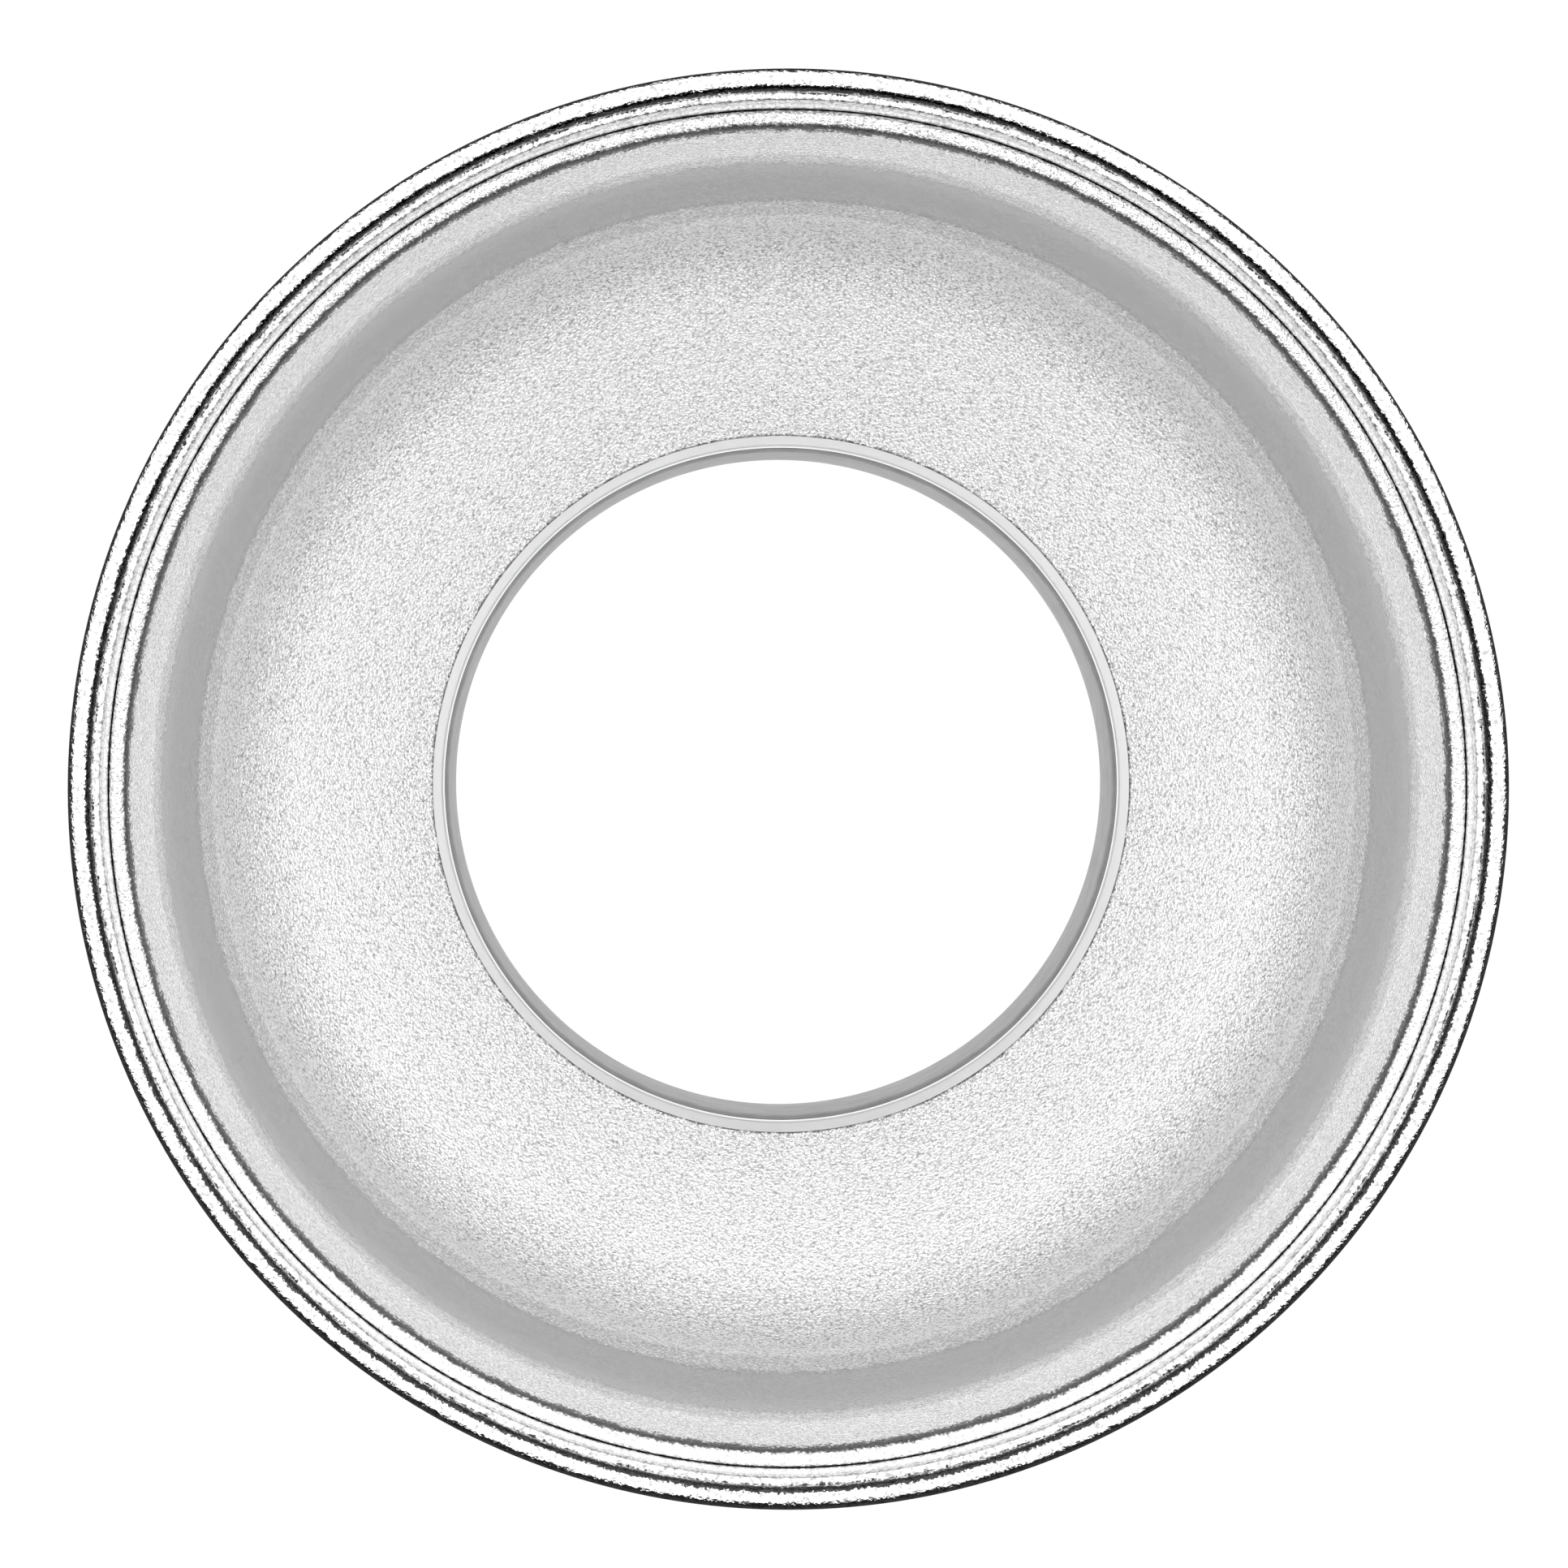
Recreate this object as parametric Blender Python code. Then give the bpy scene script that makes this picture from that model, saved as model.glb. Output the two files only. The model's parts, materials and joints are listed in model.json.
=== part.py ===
"""Slip-on studio flash reflector: a spun aluminium dish with a quick-release clamp collar.

Metres, +Z up. +Z is the way the light leaves. The dish's axis is the Z axis, and it stands at z = 0 on
the rear end of its neck. The clamp's latch is on the -Y side: the flash head's tube goes up into the neck,
and the latch pulls a steel band tight around it.
"""
import math

import bmesh
import bpy
from mathutils import Vector

# ---- driving dimensions ----
GAP = 0.0003                # clearance between pieces that touch
SEGMENTS = 48               # facets around the dish

HEIGHT = 0.1220             # neck's rear end to the crown of the rolled rim
RIM_RADIUS = 0.0973         # outside of the rolled rim
BEAD_RADIUS = 0.0016        # of the rolled rim's section
BEAD_WRAP = 255.0           # degrees that the rim is rolled through
SHEET = 0.0008              # aluminium of the bowl and the front ring
SEAT_RADIUS = 0.0928        # foot of the grid seat's wall
SEAT_DRAFT = 0.0001         # how much wider the wall is at its top
LEDGE_DEPTH = 0.0026        # crown of the rim to the ledge
SEAT_DEPTH = 0.0108         # crown of the rim to the hem that a grid rests on
HEM_WIDTH = 0.0021          # bowl's folded edge, across the fold
HEM_LENGTH = 0.0062         # the leg that is folded down
FOOT_WIDTH = 0.0014         # ring's lower edge, turned in under the hem

BOWL_DEPTH = 0.0860         # crown of the rim to the bowl's inner edge
WALL_SLOPE = 78.4           # degrees from level, steep outer wall
FLOOR_SLOPE = 37.2          # degrees from level, floor cone
BOWL_FILLET = 0.0226        # between the wall and the floor

BORE_RADIUS = 0.0500        # inside of the grip sleeve: a 100 mm head tube
LIP_WIDTH = 0.0016          # collar's lip that shows inside the bowl's edge
COLLAR_WALL = 0.0012
FLANGE_WIDTH = 0.0090       # collar flange bonded to the back of the bowl
LIP_BEND = 0.0011           # bend between the flange and the neck
SLEEVE_WALL = 0.0023
SLEEVE_LENGTH = 0.0266
SLEEVE_CHAMFER = 0.0008
SLOT_COUNT = 8
SLOT_WIDTH = 0.0030
SLOT_LENGTH = 0.0222
END_LIP = 0.0024            # fingers' ends, turned out to keep the band on

BAND_WIDTH = 0.0160
BAND_WALL = 0.0008
BAND_Z = 0.0120             # middle of the band
BAND_GAP = 9.0              # degrees from the latch's middle to each end of the band

PLATE_WALL = 0.0012         # sheet of the latch's brackets and lever
RIVET_RADIUS = 0.0012
RIVET_HEAD_RADIUS = 0.0021
RIVET_HEAD = 0.0009
ANCHOR_ANGLE = 6.0          # degrees each side of the point opposite the latch

LINE_HEIGHT = 0.0036        # draw bolt's line above the band's outside
PIVOT_X = 0.0200            # lever's pivot, along the bolt's line from the latch's middle
CRANK = 0.0055              # pivot to trunnion
OVER_CENTRE = 6.0           # degrees that the trunnion lies inside the pivot when closed
CATCH_X = -0.0220           # cross bar's middle
BOLT_RADIUS = 0.0018
BAR_RADIUS = 0.0025
BAR_LENGTH = 0.0120
BOLT_TAIL = 0.0075          # thread past the trunnion's middle
BARREL_RADIUS = 0.0031
BARREL_LENGTH = 0.0100
PIN_RADIUS = 0.0015
PIN_HEAD_RADIUS = 0.0029
PIN_HEAD = 0.0010
NUT_RADIUS = 0.0043
NUT_LENGTH = 0.0034
NUT_FLUTES = 12
WASHER_WALL = 0.0006
LEVER_EYE = 0.0046          # round end of the lever's cheeks
LEVER_HALF = 0.0031         # half the lever's height along its handle
LEVER_TIP_ANGLE = 74.0      # degrees around the neck to the handle's end
LEVER_RISE = 0.0090         # handle's middle above the band at its end

# ---- values that follow ----
CROWN_Z = HEIGHT - SEAT_DEPTH
HEM_RADIUS = SEAT_RADIUS - GAP
EDGE_RADIUS = BORE_RADIUS + GAP + LIP_WIDTH
EDGE_Z = HEIGHT - BOWL_DEPTH
SLEEVE_TOP = GAP + SLEEVE_LENGTH
FINGER_RADIUS = BORE_RADIUS + SLEEVE_WALL + GAP
BAND_RADIUS = FINGER_RADIUS + COLLAR_WALL + GAP
PLATE_RADIUS = BAND_RADIUS + BAND_WALL + GAP
CHEEK_INSIDE = BARREL_LENGTH / 2 + GAP * 0.7
CHEEK_OUTSIDE = CHEEK_INSIDE + PLATE_WALL
EAR_INSIDE = CHEEK_OUTSIDE + GAP
EAR_OUTSIDE = EAR_INSIDE + PLATE_WALL
BOLT_LINE = BAND_RADIUS + BAND_WALL + LINE_HEIGHT
PIVOT = (PIVOT_X, BOLT_LINE + CRANK * math.sin(math.radians(OVER_CENTRE)))
TRUNNION = (PIVOT_X + CRANK * math.cos(math.radians(OVER_CENTRE)), BOLT_LINE)
PLATE_ANGLES = (10.0, 38.0)  # base bracket's span around the neck
CATCH_ANGLES = (-39.0, -11.0)
BASE_RIVETS = (27.0, 34.5)
CATCH_RIVETS = (-35.0, -27.5)


# ---- materials ----
def material(name, colour, roughness, metallic):
    made = bpy.data.materials.new(name)
    made.use_nodes = True
    shader = made.node_tree.nodes["Principled BSDF"]
    shader.inputs["Base Color"].default_value = (*colour, 1.0)
    shader.inputs["Roughness"].default_value = roughness
    shader.inputs["Metallic"].default_value = metallic
    return made


# ---- sections: lists of (radius, z) ----
def rounded(corners, radii, steps=3):
    """A polyline whose inner corners are replaced with arcs of the given radii."""
    points = [Vector(corners[0])]
    for before, corner, after, radius in zip(corners, corners[1:], corners[2:], radii):
        corner = Vector(corner)
        back = (Vector(before) - corner).normalized()
        ahead = (Vector(after) - corner).normalized()
        half = back.angle(ahead) / 2
        reach = min(radius / math.tan(half), 0.48 * (Vector(before) - corner).length,
                    0.48 * (Vector(after) - corner).length)
        radius = reach * math.tan(half)
        centre = corner + (back + ahead).normalized() * (radius / math.sin(half))
        start = corner + back * reach - centre
        turn = start.angle_signed(corner + ahead * reach - centre)
        for i in range(steps + 1):
            points.append(centre + turned(start, -turn * i / steps))
    points.append(Vector(corners[-1]))
    return points


def turned(vector, angle):
    c, s = math.cos(angle), math.sin(angle)
    return Vector((c * vector.x - s * vector.y, s * vector.x + c * vector.y))


def side(path, distance):
    """The path moved to its left by a distance, with mitred corners."""
    normals = []
    for a, b in zip(path, path[1:]):
        along = (b - a).normalized()
        normals.append(Vector((-along.y, along.x)))
    moved = [path[0] + normals[0] * distance]
    for point, a, b in zip(path[1:-1], normals, normals[1:]):
        moved.append(point + (a + b) * (distance / (1 + a.dot(b))))
    moved.append(path[-1] + normals[-1] * distance)
    return moved


def strip(path, wall):
    """Closed section of a sheet whose middle follows the path."""
    return side(path, wall / 2) + side(path, -wall / 2)[::-1]


def crossing(a, slope_a, b, slope_b):
    """Where two lines meet, each given by a point and the degrees it climbs outwards from level."""
    ta, tb = math.tan(math.radians(slope_a)), math.tan(math.radians(slope_b))
    r = (b[1] - a[1] + ta * a[0] - tb * b[0]) / (ta - tb)
    return r, a[1] + ta * (r - a[0])


def behind_floor(distance):
    """The point a distance behind the bowl's inner edge, square to its floor."""
    slope = math.radians(FLOOR_SLOPE)
    return EDGE_RADIUS + distance * math.sin(slope), EDGE_Z - distance * math.cos(slope)


# ---- meshes ----
def add_shell(bm, loops, closed):
    """Skin a row of equal loops; an open row gets a cap on each end."""
    rows = [[bm.verts.new(p) for p in loop] for loop in loops]
    pairs = list(zip(rows, rows[1:])) + ([(rows[-1], rows[0])] if closed else [])
    for one, two in pairs:
        for i in range(len(one)):
            j = (i + 1) % len(one)
            bm.faces.new((one[i], one[j], two[j], two[i]))
    if not closed:
        bm.faces.new(rows[0])
        bm.faces.new(rows[-1])


def build(name, shells, finish=None, origin=(0, 0, 0)):
    """An object from one or more shells, each (loops, closed), with its origin where it turns."""
    bm = bmesh.new()
    for loops, closed in shells:
        add_shell(bm, loops, closed)
    bmesh.ops.recalc_face_normals(bm, faces=bm.faces)
    bmesh.ops.translate(bm, verts=bm.verts, vec=-Vector(origin))
    mesh = bpy.data.meshes.new(name)
    bm.to_mesh(mesh)
    bm.free()
    mesh.shade_smooth()
    mesh.set_sharp_from_angle(angle=math.radians(35))
    made = bpy.data.objects.new(name, mesh)
    made.location = origin
    bpy.context.collection.objects.link(made)
    if finish:
        mesh.materials.append(finish)
    else:
        made.hide_render = True
        made.display_type = "WIRE"
    return made


def combine(piece, tool, operation):
    step = piece.modifiers.new(tool.name, "BOOLEAN")
    step.solver = "EXACT"
    step.operation = operation
    step.object = tool


def cut(piece, name, shells):
    combine(piece, build(name, shells), "DIFFERENCE")


def join(piece, name, shells):
    combine(piece, build(name, shells), "UNION")


def turned_section(section, start=0.0, sweep=360.0):
    """Shell of a section turned about the Z axis; angles run from the latch towards +X."""
    full = sweep == 360.0
    count = SEGMENTS if full else max(2, round(SEGMENTS * sweep / 360.0))
    loops = []
    for i in range(count if full else count + 1):
        angle = math.radians(start + sweep * i / count)
        loops.append([(p[0] * math.sin(angle), -p[0] * math.cos(angle), p[1]) for p in section])
    return loops, full


def rod(start, end, rings, sides=16):
    """Shell of a turned rod from start to end; rings are (share of its length, radius)."""
    start, end = Vector(start), Vector(end)
    along = (end - start).normalized()
    across = along.orthogonal().normalized()
    other = along.cross(across)
    loops = []
    for share, radius in rings:
        centre = start.lerp(end, share)
        loops.append([centre + radius * (across * math.cos(t) + other * math.sin(t))
                      for t in circle_angles(sides)])
    return loops, False


def circle_angles(sides):
    return [2 * math.pi * i / sides for i in range(sides)]


def at_latch(u, v, w=0.0):
    """A point of the latch: u along the band towards +X, v out from the axis, w up from the band's middle."""
    return Vector((u, -v, BAND_Z + w))


def latch_slab(outline, low, high):
    """Shell of an outline of (u, v) points, between two heights from the band's middle."""
    return [[at_latch(u, v, w) for u, v in outline] for w in (low, high)], False


def latch_rod(u, v, low, high, radius, sides=16):
    return rod(at_latch(u, v, low), at_latch(u, v, high), ((0, radius), (1, radius)), sides)


def on_neck(radius, degrees):
    angle = math.radians(degrees)
    return radius * math.sin(angle), radius * math.cos(angle)


def radial_rod(inside, outside, degrees, radius, sides=12):
    start, end = (at_latch(*on_neck(r, degrees)) for r in (inside, outside))
    return rod(start, end, ((0, radius), (1, radius)), sides)


# ---- dish ----
def reflector_bowl(finish):
    hem = HEM_RADIUS - SHEET / 2
    wall = HEM_RADIUS - HEM_WIDTH + SHEET / 2
    crown = CROWN_Z - SHEET / 2
    edge = behind_floor(SHEET / 2)
    knee = crossing((wall, crown), WALL_SLOPE, edge, FLOOR_SLOPE)
    corners = [(hem, CROWN_Z - HEM_LENGTH), (hem, crown), (wall, crown), knee, edge]
    path = rounded(corners, [0.00042, 0.00042, BOWL_FILLET + SHEET / 2])
    return build("reflector_bowl", [turned_section(strip(path, SHEET))], finish)


def front_ring(finish):
    foot = CROWN_Z - HEM_LENGTH - GAP - SHEET / 2
    low = SEAT_RADIUS + SHEET / 2
    high = low + SEAT_DRAFT
    ledge = HEIGHT - LEDGE_DEPTH - SHEET / 2
    roll = BEAD_RADIUS - SHEET / 2
    centre = Vector((RIM_RADIUS - BEAD_RADIUS, HEIGHT - BEAD_RADIUS))
    flank = centre.x - roll
    corners = [(low - FOOT_WIDTH, foot), (low, foot), (high, ledge), (flank, ledge), (flank, centre.y)]
    path = rounded(corners, [0.0006, 0.00042, 0.00042], steps=2)[:-1]
    turns = 9
    for i in range(turns + 1):
        path.append(centre + turned(Vector((-roll, 0)), -math.radians(BEAD_WRAP) * i / turns))
    return build("front_ring", [turned_section(strip(path, SHEET))], finish)


# ---- neck ----
def neck_collar(finish):
    start = Vector(behind_floor(SHEET + GAP + COLLAR_WALL / 2))
    slope = math.radians(FLOOR_SLOPE)
    outer = start + FLANGE_WIDTH * Vector((math.cos(slope), math.sin(slope)))
    tube = BORE_RADIUS + GAP + COLLAR_WALL / 2
    finger = FINGER_RADIUS + COLLAR_WALL / 2
    bend_z = start.y - (start.x - tube) * math.tan(slope)
    shoulder = SLEEVE_TOP + GAP + COLLAR_WALL / 2
    end = COLLAR_WALL / 2
    corners = [outer, (tube, bend_z), (tube, shoulder), (finger, shoulder), (finger, end),
               (finger + END_LIP, end)]
    path = rounded(corners, [LIP_BEND, 0.0007, 0.0007, 0.0008], steps=2)
    collar = build("neck_collar", [turned_section(strip(path, COLLAR_WALL))], finish)
    cut(collar, "finger_slots", [slot_cutter(360.0 * i / SLOT_COUNT) for i in range(SLOT_COUNT)])
    cut(collar, "collar_rivet_holes", anchor_holes())
    return collar


def slot_cutter(degrees):
    """A slot from below the fingers' ends, with a round top, cut out along the radius."""
    half = SLOT_WIDTH / 2
    outline = [(-half, -0.001), (half, -0.001)]
    for i in range(7):
        angle = math.pi * i / 6
        outline.append((half * math.cos(angle), SLOT_LENGTH - half + half * math.sin(angle)))
    angle = math.radians(degrees)
    out = Vector((math.sin(angle), -math.cos(angle), 0))
    along = Vector((math.cos(angle), math.sin(angle), 0))
    loops = []
    for radius in (FINGER_RADIUS - 0.001, FINGER_RADIUS + COLLAR_WALL + END_LIP + 0.001):
        loops.append([out * radius + along * a + Vector((0, 0, z)) for a, z in outline])
    return loops, False


def anchor_holes():
    inside, outside = FINGER_RADIUS - 0.001, BAND_RADIUS + BAND_WALL + 0.001
    return [radial_rod(inside, outside, 180 + turn, RIVET_RADIUS + GAP)
            for turn in (-ANCHOR_ANGLE, ANCHOR_ANGLE)]


def grip_sleeve(finish):
    inner, outer = BORE_RADIUS, BORE_RADIUS + SLEEVE_WALL
    c = SLEEVE_CHAMFER
    section = [(inner, GAP + c), (inner, SLEEVE_TOP - c / 4), (inner + c / 4, SLEEVE_TOP),
               (outer - c, SLEEVE_TOP), (outer, SLEEVE_TOP - c), (outer, GAP), (inner + c, GAP)]
    return build("grip_sleeve", [turned_section([Vector(p) for p in section])], finish)


# ---- band and brackets ----
def neck_sheet(radius, wall, width, start, end):
    """Shell of a curved sheet on the neck, between two angles from the latch's middle."""
    low, high = BAND_Z - width / 2, BAND_Z + width / 2
    section = [(radius, low), (radius, high), (radius + wall, high), (radius + wall, low)]
    return turned_section(section, start, end - start)


def rivet_holes(angles, inside, outside):
    return [radial_rod(inside - 0.001, outside + 0.001, a, RIVET_RADIUS + GAP) for a in angles]


def clamp_band(finish):
    sheet = neck_sheet(BAND_RADIUS, BAND_WALL, BAND_WIDTH, BAND_GAP, 360.0 - BAND_GAP)
    band = build("clamp_band", [sheet], finish)
    outside = BAND_RADIUS + BAND_WALL
    holes = rivet_holes(BASE_RIVETS + CATCH_RIVETS, BAND_RADIUS, outside) + anchor_holes()
    cut(band, "band_rivet_holes", holes)
    return band


def ear_outline(centre, radius, foot_start, foot_end):
    """An ear that grows from the bracket's plate to a round end about a centre."""
    start = on_neck(PLATE_RADIUS + PLATE_WALL / 2, foot_start)
    end = on_neck(PLATE_RADIUS + PLATE_WALL / 2, foot_end)
    middle = on_neck(PLATE_RADIUS + PLATE_WALL / 2, (foot_start + foot_end) / 2)
    outline = [start, middle, end]
    for i in range(9):
        angle = math.radians(10 + 160 * i / 8)
        outline.append((centre[0] + radius * math.cos(angle), centre[1] + radius * math.sin(angle)))
    return outline


def latch_base(finish):
    width = 2 * EAR_OUTSIDE
    plate = neck_sheet(PLATE_RADIUS, PLATE_WALL, width, *PLATE_ANGLES)
    base = build("latch_base", [plate], finish)
    outline = ear_outline(PIVOT, LEVER_EYE - GAP, PLATE_ANGLES[0] + 2.0, PLATE_ANGLES[0] + 17.0)
    ears = [latch_slab(outline, EAR_INSIDE, EAR_OUTSIDE), latch_slab(outline, -EAR_OUTSIDE, -EAR_INSIDE)]
    join(base, "base_ears", ears)
    reach = EAR_OUTSIDE + 0.001
    holes = [latch_rod(*PIVOT, -reach, reach, PIN_RADIUS + GAP / 2)]
    holes += rivet_holes(BASE_RIVETS, PLATE_RADIUS, PLATE_RADIUS + PLATE_WALL)
    cut(base, "base_holes", holes)
    return base


def catch_bracket(finish):
    width = 2 * EAR_OUTSIDE
    plate = neck_sheet(PLATE_RADIUS, PLATE_WALL, width, *CATCH_ANGLES)
    bracket = build("catch_bracket", [plate], finish)
    face = CATCH_X + BAR_RADIUS + GAP
    foot = math.sqrt((PLATE_RADIUS + PLATE_WALL / 2) ** 2 - face ** 2)
    toe = on_neck(PLATE_RADIUS + PLATE_WALL / 2, CATCH_ANGLES[1] - 1.5)
    middle = on_neck(PLATE_RADIUS + PLATE_WALL / 2, CATCH_ANGLES[1] - 4.0)
    top = BOLT_LINE + BAR_RADIUS
    outline = [(face, foot), (face, top - 0.0008), (face + 0.0008, top), (face + 0.0040, top), toe, middle]
    inside = BOLT_RADIUS + 3 * GAP
    outside = inside + PLATE_WALL * 1.5
    ears = [latch_slab(outline, inside, outside), latch_slab(outline, -outside, -inside)]
    join(bracket, "catch_ears", ears)
    cut(bracket, "catch_holes", rivet_holes(CATCH_RIVETS, PLATE_RADIUS, PLATE_RADIUS + PLATE_WALL))
    return bracket


def rivet(name, degrees, tail, seat, finish):
    """A rivet set along the radius: its tail inside, its domed head on the seat."""
    start = at_latch(*on_neck(tail, degrees))
    end = at_latch(*on_neck(seat + RIVET_HEAD, degrees))
    length = seat + RIVET_HEAD - tail
    rings = [(0.0, RIVET_RADIUS)]
    rings.append(((seat - tail) / length, RIVET_RADIUS))
    rings.append(((seat - tail) / length, RIVET_HEAD_RADIUS))
    rings.append(((seat - tail + RIVET_HEAD * 0.45) / length, RIVET_HEAD_RADIUS * 0.93))
    rings.append(((seat - tail + RIVET_HEAD * 0.85) / length, RIVET_HEAD_RADIUS * 0.6))
    rings.append((1.0, RIVET_HEAD_RADIUS * 0.2))
    return build(name, [rod(start, end, rings, 12)], finish)


def rivets(finish):
    seat = PLATE_RADIUS + PLATE_WALL + GAP / 2
    tail = BAND_RADIUS + GAP / 3
    for label, angles in (("base_rivet", BASE_RIVETS), ("catch_rivet", CATCH_RIVETS)):
        for i, degrees in enumerate(angles):
            rivet(f"{label}_{i + 1}", degrees, tail, seat, finish)
    for i, turn in enumerate((-ANCHOR_ANGLE, ANCHOR_ANGLE)):
        rivet(f"anchor_rivet_{i + 1}", 180 + turn, FINGER_RADIUS + GAP / 3,
              BAND_RADIUS + BAND_WALL + GAP / 2, finish)


def lever_pins(finish):
    """Two stub pins, one through each ear, so that the bolt can pass between them."""
    for name, sign in (("lever_pin_upper", 1), ("lever_pin_lower", -1)):
        start = at_latch(*PIVOT, sign * (CHEEK_INSIDE + GAP / 3))
        end = at_latch(*PIVOT, sign * (EAR_OUTSIDE + GAP / 2 + PIN_HEAD))
        length = (end - start).length
        head = 1 - PIN_HEAD / length
        rings = ((0, PIN_RADIUS), (head, PIN_RADIUS), (head, PIN_HEAD_RADIUS),
                 (head + (1 - head) * 0.6, PIN_HEAD_RADIUS), (1, PIN_HEAD_RADIUS * 0.8))
        build(name, [rod(start, end, rings, 16)], finish)


# ---- lever, trunnion, bolt and nut ----
def lever_line():
    """Middle of the lever from its pivot to its tip: straight over the nut, then around the neck."""
    tip = Vector(on_neck(BAND_RADIUS + BAND_WALL + LEVER_RISE, LEVER_TIP_ANGLE))
    tip_way = Vector(on_neck(1.0, LEVER_TIP_ANGLE + 90.0))
    start = Vector(PIVOT)
    a, b = start + Vector((0.017, 0)), tip - tip_way * 0.020
    line = []
    steps = 14
    for i in range(steps + 1):
        t = i / steps
        line.append(start * (1 - t) ** 3 + a * 3 * t * (1 - t) ** 2 + b * 3 * t * t * (1 - t) + tip * t ** 3)
    return line


def lever_height(share):
    """Half the lever's height: the eye's radius at the pivot, less along the handle."""
    fade = max(0.0, 1.0 - share / 0.35)
    return LEVER_HALF + (LEVER_EYE - LEVER_HALF) * fade * fade * (3 - 2 * fade)


def widened(line, grow, start=0):
    """Both edges of the lever from a step of its line onwards, each grown outwards."""
    count = len(line) - 1
    outer, inner = [], []
    for i in range(start, count + 1):
        ahead = (line[min(i + 1, count)] - line[max(i - 1, 0)]).normalized()
        out = Vector((-ahead.y, ahead.x))
        half = lever_height(i / count)
        outer.append(line[i] + out * (half + grow[0]))
        inner.append(line[i] - out * (half + grow[1]))
    return outer, inner


def latch_lever(finish):
    line = lever_line()
    outer, inner = widened(line, (0, 0))
    ahead = (line[-1] - line[-2]).normalized()
    nose = [line[-1] + ahead * LEVER_HALF * 0.7 + Vector((-ahead.y, ahead.x)) * LEVER_HALF * s
            for s in (0.6, 0, -0.6)]
    eye = [Vector(PIVOT) + turned(Vector((0, -LEVER_EYE)), -math.pi * i / 8) for i in range(1, 8)]
    outline = outer + nose + inner[::-1] + eye
    lever = build("latch_lever", [latch_slab(outline, -CHEEK_OUTSIDE, CHEEK_OUTSIDE)], finish,
                  at_latch(*PIVOT))
    web_start = 5
    upper, lower = widened(line, (-PLATE_WALL, 0.002), web_start)
    reach = LEVER_EYE + 0.003
    mouth = [(PIVOT[0] - reach, PIVOT[1] - reach), (PIVOT[0] - reach, PIVOT[1] + reach),
             (upper[0].x, PIVOT[1] + reach)]
    short = (line[-3] - line[-2]).normalized() * GAP
    channel = mouth + upper[:-2] + [upper[-2] + short, lower[-2] + short] + lower[:-2][::-1]
    cut(lever, "lever_channel", [latch_slab(channel, -CHEEK_INSIDE, CHEEK_INSIDE)])
    holes = [latch_rod(*PIVOT, -0.02, 0.02, PIN_RADIUS + GAP / 2),
             latch_rod(*TRUNNION, -0.02, 0.02, PIN_RADIUS + GAP / 2)]
    cut(lever, "lever_holes", holes)
    return lever


def trunnion(finish):
    reach, shoulder = CHEEK_OUTSIDE, BARREL_LENGTH / 2
    ends = [at_latch(*TRUNNION, w) for w in (-reach, reach)]
    low, high = 0.5 - shoulder / reach / 2, 0.5 + shoulder / reach / 2
    rings = ((0, PIN_RADIUS), (low, PIN_RADIUS), (low, BARREL_RADIUS), (high, BARREL_RADIUS),
             (high, PIN_RADIUS), (1, PIN_RADIUS))
    block = build("trunnion", [rod(*ends, rings, 20)], finish, at_latch(*TRUNNION))
    start, end = at_latch(TRUNNION[0] - 0.01, BOLT_LINE), at_latch(TRUNNION[0] + 0.01, BOLT_LINE)
    cut(block, "trunnion_hole", [rod(start, end, ((0, BOLT_RADIUS + GAP), (1, BOLT_RADIUS + GAP)), 16)])
    return block


def draw_bolt(finish):
    start, end = at_latch(CATCH_X, BOLT_LINE), at_latch(TRUNNION[0] + BOLT_TAIL, BOLT_LINE)
    tip = 1 - 0.0006 / (end - start).length
    rings = ((0, BOLT_RADIUS), (tip, BOLT_RADIUS), (1, BOLT_RADIUS * 0.75))
    bolt = build("draw_bolt", [rod(start, end, rings, 16)], finish, at_latch(*TRUNNION))
    half = BAR_LENGTH / 2
    join(bolt, "cross_bar", [latch_rod(CATCH_X, BOLT_LINE, -half, half, BAR_RADIUS)])
    return bolt


def bored_rod(start, length, radii, bore):
    """Shell of a ring around the bolt, with one outer radius for each of its sides."""
    loops = []
    for u, inner in ((start, False), (start + length, False), (start + length, True), (start, True)):
        loop = []
        for angle, radius in zip(circle_angles(len(radii)), radii):
            r = bore if inner else radius
            loop.append(at_latch(u, BOLT_LINE + r * math.cos(angle), r * math.sin(angle)))
        loops.append(loop)
    return loops, True


def nut_and_washer(finish):
    bore = BOLT_RADIUS + GAP
    washer_u = TRUNNION[0] + BARREL_RADIUS + GAP
    round_sides = [BARREL_RADIUS] * (2 * NUT_FLUTES)
    build("thrust_washer", [bored_rod(washer_u, WASHER_WALL, round_sides, bore)], finish,
          at_latch(*TRUNNION))
    fluted = [NUT_RADIUS, NUT_RADIUS * 0.93] * NUT_FLUTES
    nut_u = washer_u + WASHER_WALL + GAP
    build("adjuster_nut", [bored_rod(nut_u, NUT_LENGTH, fluted, bore)], finish, at_latch(*TRUNNION))


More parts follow.
